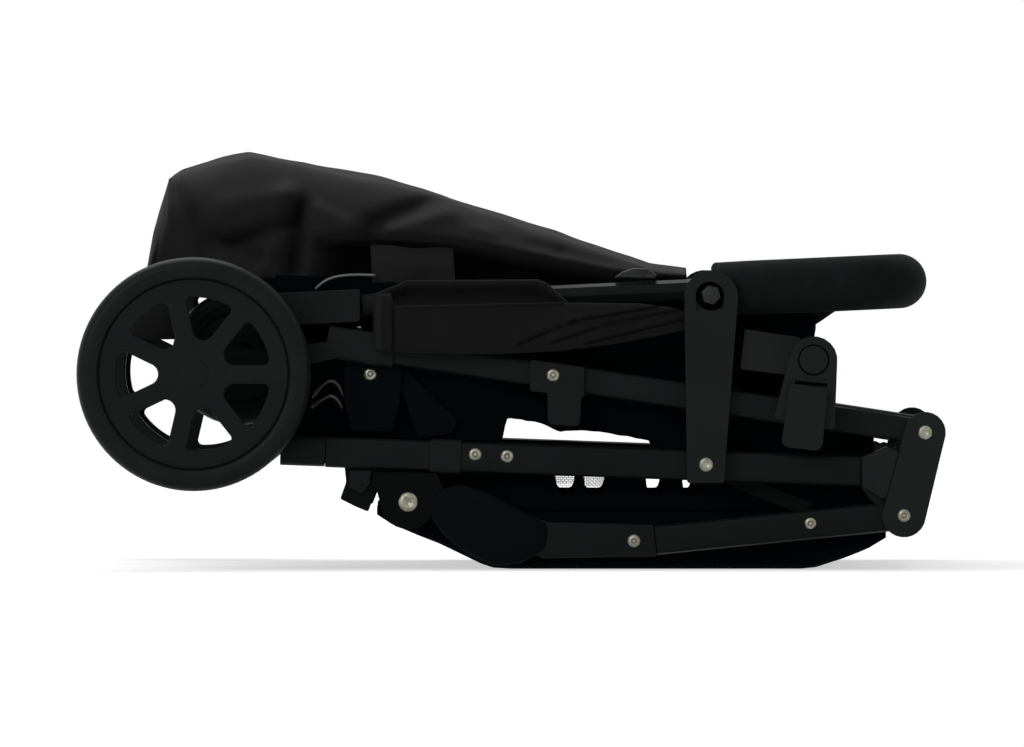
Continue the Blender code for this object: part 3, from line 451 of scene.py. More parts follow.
def build_weave_group():
    """Plain weave: threads pass over and under each other."""
    tree, start, end = new_group("plain_weave", (("Pitch", 0.0011),), ("Height", "Thread"))
    parts = tree.nodes.new("ShaderNodeSeparateXYZ")
    tree.links.new(start.outputs["Vector"], parts.inputs["Vector"])
    rounds, cells = [], []
    for axis in ("X", "Y"):
        count = math_node(tree, "DIVIDE", parts.outputs[axis], start.outputs["Pitch"])
        wave = math_node(tree, "SINE", math_node(tree, "MULTIPLY", count, math.pi))
        rounds.append(math_node(tree, "ABSOLUTE", wave))
        cells.append(math_node(tree, "FLOOR", count))
    over = math_node(tree, "ABSOLUTE", math_node(tree, "MODULO", math_node(tree, "ADD", *cells), 2.0))
    under = math_node(tree, "SUBTRACT", 1.0, over)
    height = math_node(tree, "ADD", math_node(tree, "MULTIPLY", rounds[0], over),
                       math_node(tree, "MULTIPLY", rounds[1], under))
    tree.links.new(height, end.inputs["Height"])
    tree.links.new(noise_node(tree, start.outputs["Vector"], 900.0, 3.0), end.inputs["Thread"])


def new_material(name):
    """A material's tree with its Principled shader."""
    material = bpy.data.materials.new(name)
    material.use_nodes = True
    return material.node_tree, material.node_tree.nodes["Principled BSDF"]


def group_node(tree, name, vector, **values):
    """A node that runs a group on a vector. The values are its number sockets, with underscores."""
    node = tree.nodes.new("ShaderNodeGroup")
    node.node_tree = bpy.data.node_groups[name]
    tree.links.new(vector, node.inputs["Vector"])
    for socket, value in values.items():
        node.inputs[socket.replace("_", " ")].default_value = value
    return node.outputs


def mixed(tree, first, share, tone, mask):
    """A colour, or a colour socket, mixed with a share of the tone where the mask says."""
    mix = tree.nodes.new("ShaderNodeMix")
    mix.data_type = "RGBA"
    if isinstance(first, bpy.types.NodeSocket):
        tree.links.new(first, mix.inputs["A"])
    else:
        mix.inputs["A"].default_value = (*first, 1)
    mix.inputs["B"].default_value = (*[part * share for part in tone], 1)
    tree.links.new(mask, mix.inputs["Factor"])
    return mix.outputs["Result"]


def surface_feel(tree, shader, gloss, roughness, drop, height, bump, depth):
    """Roughness that falls by a drop where the gloss is, and a bump from a height."""
    spread = range_node(tree, gloss, To_Min=roughness, To_Max=roughness - drop)
    tree.links.new(spread.outputs["Result"], shader.inputs["Roughness"])
    node = tree.nodes.new("ShaderNodeBump")
    node.inputs["Strength"].default_value = bump
    node.inputs["Distance"].default_value = depth
    tree.links.new(height, node.inputs["Height"])
    tree.links.new(node.outputs["Normal"], shader.inputs["Normal"])


def solid_finish(name, tone, roughness, grain_scale, depth, specular, lift=1.5, patch_scale=14.0,
                 metallic=0.0, bump=0.35):
    """Paint, moulded plastic, rubber, foam or metal. Lift is how much lighter its patches are."""
    tree, shader = new_material(name)
    place = tree.nodes.new("ShaderNodeTexCoord")
    grain = group_node(tree, "surface_grain", place.outputs["Object"], Grain_Scale=grain_scale,
                       Patch_Scale=patch_scale)
    tree.links.new(mixed(tree, tone, lift, tone, grain["Patches"]), shader.inputs["Base Color"])
    surface_feel(tree, shader, grain["Scuffs"], roughness, 0.10, grain["Height"], bump, depth)
    shader.inputs["Metallic"].default_value = metallic
    shader.inputs["Specular IOR Level"].default_value = specular


def cloth_finish(name, tone, roughness, pitch, depth, sheen, specular):
    """Woven cloth, whose threads follow the piece's own map, and which carries painted shade deep in its
    folds and under its overlapping layers.
    """
    lift, painted_shade_tone, patch_scale, bump = 1.45, 0.08, 22.0, 0.5
    tree, shader = new_material(name)
    place = tree.nodes.new("ShaderNodeTexCoord")
    flat = tree.nodes.new("ShaderNodeUVMap")
    flat.uv_map = UV_NAME
    weave = group_node(tree, "plain_weave", flat.outputs["UV"], Pitch=pitch)
    grain = group_node(tree, "surface_grain", place.outputs["Object"], Patch_Scale=patch_scale)
    threads = mixed(tree, tone, lift, tone, math_node(tree, "MULTIPLY", weave["Thread"], grain["Patches"]))
    # Painted shade: the point attribute darkens the cloth in its folds, under the canopy's lip and under the
    # roll's layers
    folds = tree.nodes.new("ShaderNodeAttribute")
    folds.attribute_name = SHADE_NAME
    tree.links.new(mixed(tree, threads, painted_shade_tone, tone, folds.outputs["Fac"]), shader.inputs["Base Color"])
    surface_feel(tree, shader, weave["Height"], roughness, 0.08, weave["Height"], bump, depth)
    shader.inputs["Specular IOR Level"].default_value = specular
    shader.inputs["Sheen Weight"].default_value = sheen
    shader.inputs["Sheen Roughness"].default_value = 0.45


# A piece's material, and the record's material that it counts as
PLASTIC = ("moulded_plastic", "black_plastic")
RIVET = ("rivet_metal", "rivet_steel")
TYRE = ("foam_rubber", "tyre_foam")
# Near-black for the dark joints at the hinges, and painted shade in the front tube's joint and the link's
# pocket
DARK_GAP_AND_SHADE = ("gap_black", "black_plastic")
FINISH_BY_SLOT = {"painted_tube": "satin_black_paint", "black_plastic": "moulded_plastic",
                  "tyre_foam": "foam_rubber", "grip_foam": "grip_foam_skin", "rivet_steel": "rivet_metal",
                  "black_fabric": "lining_cloth"}


class STROLLER_OT_finishes(bpy.types.Operator):
    """Makes the finishes and puts them on the CAD nodes that stay in view"""

    bl_idname = "stroller.finishes"
    bl_label = "Finishes"

    def execute(self, context):
        build_grain_group()
        build_weave_group()
        self.solids(context.scene.stroller_colours)
        self.cloths(context.scene.stroller_colours, context.scene.stroller_sizes.weave_pitch)
        for node in frame["nodes"].values():
            slot = node.material_slots[0]
            slot.material = bpy.data.materials[FINISH_BY_SLOT[slot.name]]
        return {"FINISHED"}

    def solids(self, colours):
        """Name, colour, roughness, grains a metre, grain depth and specular level of each solid finish."""
        # The tube paint at half its colour: painted shade on the pivot plate
        tube_in_painted_shade = [part * 0.5 for part in colours.tube]
        for finish in (("satin_black_paint", colours.tube, 0.40, 2600, 0.00010, 0.055),
                       ("plate_paint", colours.tube, 0.44, 2600, 0.00010, 0.095),
                       ("shaded_paint", tube_in_painted_shade, 0.55, 2600, 0.00010, 0.025),
                       ("moulded_plastic", colours.plastic, 0.50, 1900, 0.00018, 0.06),
                       ("lever_plastic", colours.plastic, 0.46, 1900, 0.00018, 0.10),
                       ("lining_plate", (0.0022, 0.0036, 0.0044), 0.62, 1900, 0.00018, 0.016)):
            solid_finish(*finish)
        solid_finish("foam_rubber", colours.tyre, 0.42, 1300, 0.00015, 0.07, patch_scale=30)
        solid_finish("grip_foam_skin", colours.foam, 0.80, 1500, 0.00040, 0.05, patch_scale=40, bump=0.6)
        # Near-black for dark joints, and painted shade in the tube joint and the link's pocket
        solid_finish("gap_black", (0.0010, 0.0011, 0.0011), 0.9, 900, 0.0001, 0.01, patch_scale=90)
        solid_finish("pale_trim", (0.16, 0.17, 0.17), 0.45, 900, 0.0001, 0.3, patch_scale=90)
        solid_finish("rivet_metal", colours.rivet, 0.36, 900, 0.00008, 0.5, 0.45, 260, 1.0)
        solid_finish("dark_hardware", (0.013, 0.014, 0.0135), 0.38, 900, 0.0001, 0.2, 2.2, 120, 0.5)
        solid_finish("spring_steel", (0.022, 0.024, 0.023), 0.32, 900, 0.0001, 0.3, 1.8, 160, 0.8)

    def cloths(self, colours, pitch):
        """Name, colour, roughness, thread pitch, thread depth, sheen and specular level of each cloth."""
        for finish in (("canopy_cloth", colours.fabric, 0.86, pitch, 0.00035, 0.06, 0.06),
                       ("panel_cloth", colours.panel, 0.86, pitch, 0.00035, 0.05, 0.05),
                       ("lining_cloth", colours.lining, 0.90, pitch, 0.00035, 0.0, 0.012),
                       ("webbing_cloth", (0.0060, 0.0070, 0.0072), 0.80, 0.0016, 0.0006, 0.04, 0.04),
                       ("pad_cloth", (0.0036, 0.0052, 0.0056), 0.82, 0.0016, 0.0005, 0.0, 0.035),
                       ("stitch_thread", (0.040, 0.041, 0.040), 0.75, 0.0004, 0.0001, 0.05, 0.1)):
            cloth_finish(*finish)


# The paired CAD nodes that keep their shape and get rounded edges, with their finish
TUBES = {"front_tube": "satin_black_paint", "rear_tube": "satin_black_paint",
         "lower_rail": "satin_black_paint", "rail_end": "satin_black_paint", "pivot_plate": "shaded_paint",
         "handle_link": "plate_paint"}
CASTINGS = {"front_socket": "moulded_plastic", "tube_collar": "moulded_plastic",
            "knee_bracket": "lever_plastic", "rear_end": "moulded_plastic", "tube_clip": "moulded_plastic",
            "hinge_housing": "lever_plastic", "release_button": "lever_plastic",
            "latch_lever": "lever_plastic", "handle_sleeve": "moulded_plastic",
            "caster_fork": "moulded_plastic", "caster_housing": "moulded_plastic"}
SINGLE_TUBES = ("handle_bar", "front_cross_tube", "seat_cross_tube", "centre_strut", "rear_cross_tube")


class STROLLER_OT_tubes(bpy.types.Operator):
    """Metal tubes, rails, links and plates, with rounded edges"""

    bl_idname = "stroller.tubes"
    bl_label = "Tubes and plates"

    def execute(self, context):
        radius = context.scene.stroller_sizes.plate_edge_radius
        for label, _ in SIDES:
            for node, finish in TUBES.items():
                rounded_shell(f"{node}_{label}", radius, finish, "painted_tube")
        for node in SINGLE_TUBES:
            rounded_shell(node, radius, "satin_black_paint", "painted_tube")
        return {"FINISHED"}


class STROLLER_OT_castings(bpy.types.Operator):
    """Moulded brackets, housings, levers and clips, with rounded edges"""

    bl_idname = "stroller.castings"
    bl_label = "Moulded parts"

    def execute(self, context):
        radius = context.scene.stroller_sizes.edge_radius
        for label, _ in SIDES:
            for node, finish in CASTINGS.items():
                rounded_shell(f"{node}_{label}", radius, finish, "black_plastic")
        rounded_shell("brake_pedal", radius, *PLASTIC)
        return {"FINISHED"}


# The rear wheel: its spokes, the openings between them, its disc, the barrel behind the disc, and its hub
SPOKES, SPOKE_HALF = 7, 0.0076
WINDOW_RIM, WINDOW_ROUND, WINDOW_CORNER = 0.0630, 0.0088, 0.0040
DISC_DEPTH, DISC_EDGE, DISC_STEPS = 0.0120, 0.0016, 120
BARREL_RADIUS, HUB_BORE, HUB_RADIUS = 0.0668, 0.0078, 0.0165
# The hub's cap, as (radius, height) points
HUB_CAP = ((0.0, 0.0007), (0.0105, 0.0007), (0.0120, 0.0004), (0.0125, -0.0006), (0.0, -0.0006))


def window_outline(turn, grow):
    """One opening between two spokes, as points in side view about the hub, made wider all round by grow."""
    half = math.pi / SPOKES
    corner = WINDOW_RIM - WINDOW_CORNER
    lean = half - math.asin((SPOKE_HALF + WINDOW_CORNER) / corner)
    side = math.pi / 2 + half
    across, up = corner * math.cos(lean), corner * math.sin(lean)
    inner = (SPOKE_HALF + WINDOW_ROUND) / math.sin(half)
    arcs = ((0.0, 0.0, WINDOW_RIM, -lean, lean, 10), (across, up, WINDOW_CORNER, lean, side, 8),
            (inner, 0.0, WINDOW_ROUND, side, 2 * math.pi - side, 14),
            (across, -up, WINDOW_CORNER, -side, -lean, 8))
    points = []
    for x, z, radius, start, end, steps in arcs:
        for step in range(steps):
            angle = start + (end - start) * step / steps
            reach = radius + grow
            spot = Vector((x + reach * math.cos(angle), z + reach * math.sin(angle)))
            points.append(Matrix.Rotation(turn, 2) @ spot)
    return points


def wheel_disc(radius, place):
    """A disc with rounded openings between its spokes. Place turns (x, depth, z) into a point."""
    shape = bmesh.new()
    bend = [math.radians(angle) for angle in (0, 30, 60, 90)]
    section = [(DISC_EDGE * (1 - math.sin(a)), DISC_EDGE * (1 - math.cos(a))) for a in bend]
    section += [(grow, DISC_DEPTH - depth) for grow, depth in reversed(section)]
    turns = [2 * math.pi * (spoke + 0.5) / SPOKES for spoke in range(SPOKES)]
    angles = [math.radians(360 * step / DISC_STEPS) for step in range(DISC_STEPS)]
    circle = [Vector((math.cos(angle), math.sin(angle))) for angle in angles]
    layers = []
    for grow, depth in section:
        outlines = [[spot * (radius - grow) for spot in circle]]
        outlines += [window_outline(turn, grow) for turn in turns]
        layers.append([[shape.verts.new(place(p.x, depth, p.y)) for p in outline] for outline in outlines])
    for first, second in zip(layers, layers[1:]):
        for low, high in zip(first, second):
            for index in range(len(low)):
                shape.faces.new((low[index - 1], low[index], high[index], high[index - 1]))
    for layer in (layers[0], layers[-1]):
        edges = [shape.edges.get((rim[index - 1], rim[index])) for rim in layer for index in range(len(rim))]
        bmesh.ops.triangle_fill(shape, use_beauty=True, use_dissolve=False, edges=edges)
    return shape


def shoulder(outer, half, radius, drop, steps):
    """A tyre's soft shoulder, as (radius, height) points from its wall to its tread."""
    angles = [math.radians(90 * step / steps) for step in range(steps + 1)]
    return [(outer - radius + radius * math.sin(a), drop * (1 - math.cos(a)) - half) for a in angles]


def both_sides(profile):
    """A profile with its mirror image across the middle, closed on its first point."""
    return profile + [(r, -h) for r, h in reversed(profile)] + profile[:1]


class STROLLER_OT_wheels(bpy.types.Operator):
    """Rear wheels with their tyres, and the front wheels"""

    bl_idname = "stroller.wheels"
    bl_label = "Wheels"

    def execute(self, context):
        for label, side in SIDES:
            self.rear_wheel(f"rear_wheel_{label}", side)
            self.rear_tyre(label, side)
            self.hub_cap(label, side)
            self.front_wheel(label, side)
        return {"FINISHED"}

    def rear_wheel(self, node, side):
        """The spoked disc with its barrel behind the rim and its hub."""
        centre, size, face = node_box(node, side)
        outer, width, edge = size.x / 2, size.y, 0.001
        shape = wheel_disc(outer, lambda x, depth, z: (centre.x + x, face - side * depth, centre.z + z))
        inside = DISC_DEPTH - edge
        barrel = [(BARREL_RADIUS, -inside), (BARREL_RADIUS, edge - width), (BARREL_RADIUS + edge, -width),
                  (outer - edge, -width), (outer, edge - width), (outer, -inside), (BARREL_RADIUS, -inside)]
        hub = [(HUB_BORE, -inside), (HUB_BORE, -width), (HUB_RADIUS - edge, -width),
               (HUB_RADIUS, edge - width), (HUB_RADIUS, -inside), (HUB_BORE, -inside)]
        for profile in (barrel, hub):
            turned_shape(shape, profile, (centre.x, face, centre.z), (0, side, 0), 72)
        bmesh.ops.remove_doubles(shape, verts=shape.verts, dist=MERGE)
        bmesh.ops.recalc_face_normals(shape, faces=shape.faces)
        mark_sharp(shape, 50)
        add_weighted_normals(new_piece(f"{node}_disc", shape, body_of_node(node), *PLASTIC, (node,)))

    def rear_tyre(self, label, side):
        """A foam tyre with a soft shoulder, turned about the rear axle."""
        node, play = f"rear_tyre_{label}", 0.0003
        centre, size, _ = node_box(node, side)
        half = size.y / 2
        inner = node_box(f"rear_wheel_{label}", side)[1].x / 2 + play
        profile = [(inner - 0.0024, 0.0060 - half), (inner, 0.0040 - half), (inner + 0.0012, 0.0012 - half),
                   (inner + 0.0035, -half)]
        profile += shoulder(size.x / 2, half, 0.0082, 0.0105, 8)
        turned_piece(f"{node}_turned", both_sides(profile), centre, (0, 1, 0), 96, body_of_node(node), TYRE,
                     (node,))

    def hub_cap(self, label, side):
        """A flat cap on the hub."""
        node = f"rear_wheel_{label}"
        centre, _, face = node_box(node, side)
        turned_piece(f"hub_cap_{label}", HUB_CAP, (centre.x, face, centre.z), (0, side, 0), 48,
                     body_of_node(node), PLASTIC)

    def front_wheel(self, label, side):
        """The front wheel's hub with its own tyre round it."""
        node, tyre_depth = f"front_wheel_{label}", 0.0135
        centre, size, _ = node_box(node, side)
        half, body = size.y / 2, body_of_node(node)
        seat = size.x / 2 - tyre_depth
        tyre = [(seat, 0.003 - half), (seat + 0.0025, 0.0004 - half)]
        tyre += shoulder(size.x / 2, half, 0.0065, 0.008, 6)
        turned_piece(f"front_tyre_{label}", both_sides(tyre), centre, (0, 1, 0), 64, body, TYRE, (node,))
        hub = [(0.0044, -half), (0.0100, -half), (0.0120, 0.002 - half), (0.0140, 0.006 - half),
               (seat - 0.006, 0.007 - half), (seat - 0.003, 0.0035 - half), (seat, 0.003 - half)]
        turned_piece(f"front_hub_{label}", both_sides(hub), centre, (0, 1, 0), 48, body, PLASTIC)


# Name, CAD node that holds it, x, z and share of the full size of each small rivet
RIVET_PLACES = (
    ("tube_front", "front_tube", -0.0299, 0.0944, 1.0), ("tube_rear", "front_tube", -0.0037, 0.0928, 1.0),
    ("clip", "tube_clip", 0.0340, 0.1595, 1.0), ("rail_bend", "rail_end", 0.1004, 0.0234, 1.0),
    ("rail_screw", "lower_rail", 0.2452, 0.0379, 0.95), ("knee_foot", "knee_bracket", 0.3218, 0.0443, 1.0),
)
PLATE_RIVET = (-0.0849, 0.0553)
LINK_BOLT = (0.1636, 0.2252)
# A near-black disc under the bolt, painted shade on the pocket's floor, as (radius, height) points
POCKET_SHADE_DISC = ((0.0, 0.0), (0.0126, 0.0), (0.0128, 0.0004), (0.0122, 0.0007), (0.0, 0.0007))


def rivet_profile(radius):
    """Half outline of a domed rivet head with a dimple in its middle."""
    return [(0.0, 0.0007), (radius * 0.26, 0.0007), (radius * 0.36, 0.0013), (radius * 0.48, 0.0019),
            (radius * 0.66, 0.0018), (radius * 0.86, 0.0012), (radius, 0.0003), (radius, -0.0008),
            (0.0, -0.0008)]


class STROLLER_OT_rivets(bpy.types.Operator):
    """Rivets, screws and the bolts in the links' pockets"""

    bl_idname = "stroller.rivets"
    bl_label = "Rivets and bolts"

    def execute(self, context):
        sizes = context.scene.stroller_sizes
        places = [(*place, sizes.rivet_radius * share, 28) for *place, share in RIVET_PLACES]
        places.append(("plate", "pivot_plate", *PLATE_RIVET, sizes.pivot_rivet_radius, 36))
        for label, side in SIDES:
            for name, node, x, z, radius, steps in places:
                full = f"{node}_{label}"
                centre = (x, face_depth(full, x, z, side), z)
                turned_piece(f"rivet_{name}_{label}", rivet_profile(radius), centre, (0, side, 0), steps,
                             body_of_node(full), RIVET)
            for node in ("knee_pivot", "link_pivot"):
                self.pivot_head(f"{node}_{label}", side)
            self.link_bolt(label, side)
        return {"FINISHED"}

    def pivot_head(self, node, side):
        """A smooth head in place of a faceted pivot rivet."""
        centre, size, face = node_box(node, side)
        radius, depth, neck = size.x / 2, size.y, 0.0035
        profile = [(0.0, -0.0007), (radius * 0.26, -0.0007), (radius * 0.38, -0.0002), (radius * 0.62, 0.0),
                   (radius * 0.86, -0.0007), (radius, -0.0016), (radius, -0.0024), (neck, -0.0025),
                   (neck, 0.0020 - depth), (radius, 0.0018 - depth), (radius * 0.8, 0.0006 - depth),
                   (0.0, -depth)]
        turned_piece(f"{node}_head", profile, (centre.x, face, centre.z), (0, side, 0), 28,
                     body_of_node(node), RIVET, (node,))

    def link_bolt(self, label, side):
        """Hexagonal bolt head on a near-black disc, which is painted shade in the pocket at the link's top.
        """
        node = f"handle_link_{label}"
        x, z = LINK_BOLT
        depth, head_middle, lean = face_depth(node, x, z, side), 0.0026, 14
        turned_piece(f"bolt_washer_{label}", POCKET_SHADE_DISC, (x, depth, z), (0, side, 0), 36, body_of_node(node),
                     ("gap_black", "rivet_steel"))
        shape = bmesh.new()
        bmesh.ops.create_cone(shape, cap_ends=True, segments=6, radius1=0.0086, radius2=0.0080, depth=0.0032)
        rounded(shape, list(shape.edges), 0.0005)
        turn = Matrix.Rotation(math.radians(-90 * side), 4, "X") @ Matrix.Rotation(math.radians(lean), 4, "Z")
        bmesh.ops.transform(shape, matrix=Matrix.Translation((x, depth + side * head_middle, z)) @ turn,
                            verts=shape.verts)
        mark_sharp(shape, 40)
        new_piece(f"bolt_head_{label}", shape, body_of_node(node), "dark_hardware", "rivet_steel")


# Share of the grip's radius, and how far in from its end, of each ring at its rolled ends
GRIP_END = ((0.50, 0.0), (0.80, 0.0002), (0.93, 0.0016), (0.985, 0.0038))
GRIP_RADIUS, GRIP_BEND, GRIP_BEND_STEPS = 0.0224, 0.045, 12
# The grip's middle line in side view: a point on it, and how much it rises over its run
GRIP_START, GRIP_RISE, GRIP_RUN = (-0.1240, 0.2163), 0.2364 - 0.2163, 0.4430


class STROLLER_OT_grip(bpy.types.Operator):
    """Foam grip round the handle, with rounded ends"""

    bl_idname = "stroller.grip"
    bl_label = "Foam grip"

    def execute(self, context):
        low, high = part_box("foam_grip")
        arm = high.y - GRIP_RADIUS
        corner_x = high.x - GRIP_RADIUS - GRIP_BEND
        ends = [low.x + ahead for ahead in (0.001, 0.030, 0.070)]
        flat = [(x, -arm) for x in ends]
        for side, first in ((-1, -90), (1, 0)):
            for step in range(GRIP_BEND_STEPS + 1):
                angle = math.radians(first + 90 * step / GRIP_BEND_STEPS)
                flat.append((corner_x + GRIP_BEND * math.cos(angle),
                             side * (arm - GRIP_BEND) + GRIP_BEND * math.sin(angle)))
        flat += [(x, arm) for x in reversed(ends)]
        slope = GRIP_RISE / GRIP_RUN
        path = [Vector((x, y, GRIP_START[1] + slope * (x - GRIP_START[0]))) for x, y in flat]
        grip = new_piece("foam_grip_cover", self.tube_along(path), body_of_node("foam_grip"),
                         "grip_foam_skin", "grip_foam", ("foam_grip",))
        return {"FINISHED"}

    def tube_along(self, path):
        """A round foam tube along a flat path, with rolled ends."""
        shape = bmesh.new()
        first = (path[1] - path[0]).normalized()
        last = (path[-1] - path[-2]).normalized()
        stations = [(path[0] + first * back, first, share) for share, back in GRIP_END]
        for index in range(1, len(path) - 1):
            stations.append((path[index], (path[index + 1] - path[index - 1]).normalized(), 1.0))
        stations += [(path[-1] - last * back, last, share) for share, back in reversed(GRIP_END)]
        rings = []
        for spot, ahead, share in stations:
            across = Vector((0, 0, 1)).cross(ahead).normalized()
            turn = Matrix((across, ahead.cross(across), ahead)).transposed().to_4x4()
            made = bmesh.ops.create_circle(shape, cap_ends=False, segments=40, radius=GRIP_RADIUS * share,
                                           matrix=Matrix.Translation(spot) @ turn)
            rings.append([e for v in made["verts"] for e in v.link_edges])
        for ring, following in zip(rings, rings[1:]):
            bmesh.ops.bridge_loops(shape, edges=list(set(ring + following)))
        bmesh.ops.holes_fill(shape, edges=[e for e in shape.edges if e.is_boundary], sides=0)
        bmesh.ops.recalc_face_normals(shape, faces=shape.faces)
        mark_sharp(shape, 60)
        return shape


def open_section(share, height, width, corner):
    """A point (across, up) on a line that goes up one wall, over the top and down the other."""
    corner = min(corner, height * 0.8, width * 0.4)
    wall, bend, top = height - corner, math.pi * corner / 2, width - 2 * corner
    reach = share * (2 * wall + 2 * bend + top)
    if reach < wall:
        return 0.0, reach
    reach -= wall
    if reach < bend:
        angle = reach / corner
        return corner * (1 - math.cos(angle)), wall + corner * math.sin(angle)
    reach -= bend
    if reach < top:
        return corner + reach, height
    reach -= top
    if reach < bend:
        angle = reach / corner
        return width - corner + corner * math.sin(angle), wall + corner * math.cos(angle)
    return width, max(0.0, wall - (reach - bend))


def closed_section(share, height, width, corner):
    """A point (across, up) once round a box with round corners, from its first wall's middle downwards."""
    corner = min(corner, height * 0.46, width * 0.46)
    wall, flat, bend = height - 2 * corner, width - 2 * corner, math.pi * corner / 2
    reach = (share % 1.0) * (2 * wall + 2 * flat + 4 * bend)
    spot, ahead = Vector((0.0, height / 2)), Vector((0.0, -1.0))
    for run, turning in ((wall / 2, 0), (bend, 1), (flat, 0), (bend, 1), (wall, 0), (bend, 1), (flat, 0),
                         (bend, 1), (wall / 2, 0)):
        used = min(reach, run)
        if turning:
            side = Vector((-ahead.y, ahead.x))
            angle = used / corner
            spot = spot + side * corner + ahead * corner * math.sin(angle) - side * corner * math.cos(angle)
            ahead = ahead * math.cos(angle) + side * math.sin(angle)
        else:
            spot = spot + ahead * used
        reach -= used
        if reach <= 0:
            break
    return spot.x, spot.y


def surface_frame(surface, u, v):
    """A surface's point with its outward direction."""
    step = 0.004
    ahead = surface(min(1.0, u + step), v) - surface(max(0.0, u - step), v)
    around = surface(u, min(1.0, v + step)) - surface(u, max(0.0, v - step))
    return surface(u, v), ahead.cross(around).normalized() * -1


def seam_band(name, surface, line, width, lift, body, material, count):
    """A narrow raised band along a line of (u, v) points on a surface, on both sides."""
    shape = bmesh.new()
    layer = shape.loops.layers.uv.new(UV_NAME)
    bmesh.ops.create_grid(shape, x_segments=count, y_segments=2, size=0.5)
    frames, clearance = [], 0.0002
    for index in range(count + 1):
        spot, out = surface_frame(surface, *along(line, index / count))
        if index < count:
            ahead = surface(*along(line, min(1.0, (index + 0.5) / count))) - spot
        else:
            ahead = spot - surface(*along(line, (index - 0.5) / count))
        frames.append((spot, out, ahead.cross(out).normalized()))
    for vertex in shape.verts:
        spot, out, side = frames[round((vertex.co.x + 0.5) * count)]
        crown = lift * (1 - (2 * vertex.co.y) ** 2)
        vertex.co = spot + side * (vertex.co.y * width) + out * (crown + clearance)
    for face in shape.faces:
        for loop in face.loops:
            loop[layer].uv = (loop.vert.co.x, loop.vert.co.z)
    soft_pair(name, shape, body, material, thickness=0.0006)


def stitches(name, surface, line, body):
    """A row of short thread stitches along a line of (u, v) points on a surface, on both sides."""
    pitch, lift, samples = 0.0040, 0.0004, 60
    row = line_length([surface(*along(line, i / samples)) for i in range(samples + 1)])
    count = max(4, int(row / pitch))
    size = Matrix.Diagonal((pitch * 0.62, 0.0005, 0.0004, 1))
    shape = bmesh.new()
    shape.loops.layers.uv.new(UV_NAME)
    for index in range(count):
        spot, out = surface_frame(surface, *along(line, (index + 0.5) / count))
        before, after = surface(*along(line, index / count)), surface(*along(line, (index + 0.9) / count))
        ahead = (after - before).normalized()
        turn = Matrix((ahead, out.cross(ahead).normalized(), out)).transposed().to_4x4()
        bmesh.ops.create_cube(shape, size=1.0, matrix=Matrix.Translation(spot + out * lift) @ turn @ size)
    mirrored(new_piece(f"{name}_near", shape, body, "stitch_thread", "black_fabric", smooth=False), body)


def shade_cloth(piece, rule):
    """Keeps on a cloth how much painted shade each point gets in its folds and under its overlapping layers,
    for the finish to darken.
    """
    layer = piece.data.attributes.new(SHADE_NAME, "FLOAT", "POINT")
    for vertex, value in zip(piece.data.vertices, layer.data):
        value.value = min(1.0, max(0.0, rule(vertex.co)))


# The canopy's top line and the lower edge of its outer cloth, in side view
CANOPY_TOP = ((-0.2998, 0.2500), (-0.2945, 0.2800), (-0.2815, 0.3240), (-0.2735, 0.3290), (-0.2170, 0.3420),
              (-0.1730, 0.3360), (-0.1080, 0.3210), (-0.0590, 0.3090), (0.0070, 0.2862), (0.0730, 0.2647),
              (0.1140, 0.2512), (0.1440, 0.2470))
CANOPY_LIP = ((-0.1374, 0.2735), (-0.0914, 0.2743), (-0.0308, 0.2669), (0.0070, 0.2587), (0.0463, 0.2505),
              (0.0873, 0.2425), (0.1382, 0.2390))
# Start and end of each fold in side view, its half width and its depth inwards
CANOPY_FOLDS = (
    ((-0.1734, 0.2989), (-0.1800, 0.2456), 0.0085, 0.0170),
    ((-0.1800, 0.2850), (-0.2292, 0.2669), 0.0075, 0.0110),
    ((-0.1152, 0.2850), (-0.0578, 0.3055), 0.0070, 0.0120),
    ((-0.2423, 0.2710), (-0.2079, 0.2579), 0.0070, 0.0080),
    ((-0.2333, 0.2989), (-0.1857, 0.3096), 0.0100, -0.0060),
    ((-0.1857, 0.3096), (-0.1349, 0.2817), 0.0075, -0.0070),
    ((-0.0980, 0.2768), (-0.0504, 0.2932), 0.0070, -0.0055),
    ((-0.0094, 0.2743), (0.0398, 0.2604), 0.0055, 0.0050),
    ((-0.2750, 0.3120), (-0.2450, 0.2650), 0.0070, 0.0045),
    ((-0.2600, 0.2900), (-0.2500, 0.2500), 0.0060, 0.0040),
    ((-0.1500, 0.2640), (-0.1100, 0.2790), 0.0060, 0.0080),
    ((-0.0300, 0.2800), (0.0100, 0.2690), 0.0050, -0.0035),
    ((0.0400, 0.2600), (0.0900, 0.2490), 0.0045, 0.0035),
    ((-0.2050, 0.2450), (-0.1950, 0.2750), 0.0060, -0.0040),
)
CANOPY_REAR_LINE = ((-0.2800, 0.3235), (-0.2950, 0.2450))
# Across the stroller: the canopy's outer and inner walls, its corners' radius, and its outer wall's tuck
CANOPY_NEAR, CANOPY_INNER, CANOPY_CORNER, CANOPY_TUCK = -0.2915, -0.0095, 0.045, 0.052
CANOPY_SIZE = (0.545, 0.450)
FLAP_SIZE = (0.070, 0.034)
# Name, line of (u, v) points, width, height and steps of the canopy's bands
CANOPY_BANDS = (("rear_welt", ((0.150, 0.02), (0.150, 0.98)), 0.0040, 0.0010, 120),
                ("top_seam", ((0.155, 0.42), (0.97, 0.42)), 0.0060, 0.0006, 110),
                ("inner_seam", ((0.155, 0.66), (0.97, 0.66)), 0.0060, 0.0006, 110))
CANOPY_STITCHES = (("rear", ((0.165, 0.02), (0.165, 0.98))), ("top", ((0.16, 0.413), (0.97, 0.413))),
                   ("inner", ((0.16, 0.667), (0.97, 0.667))))


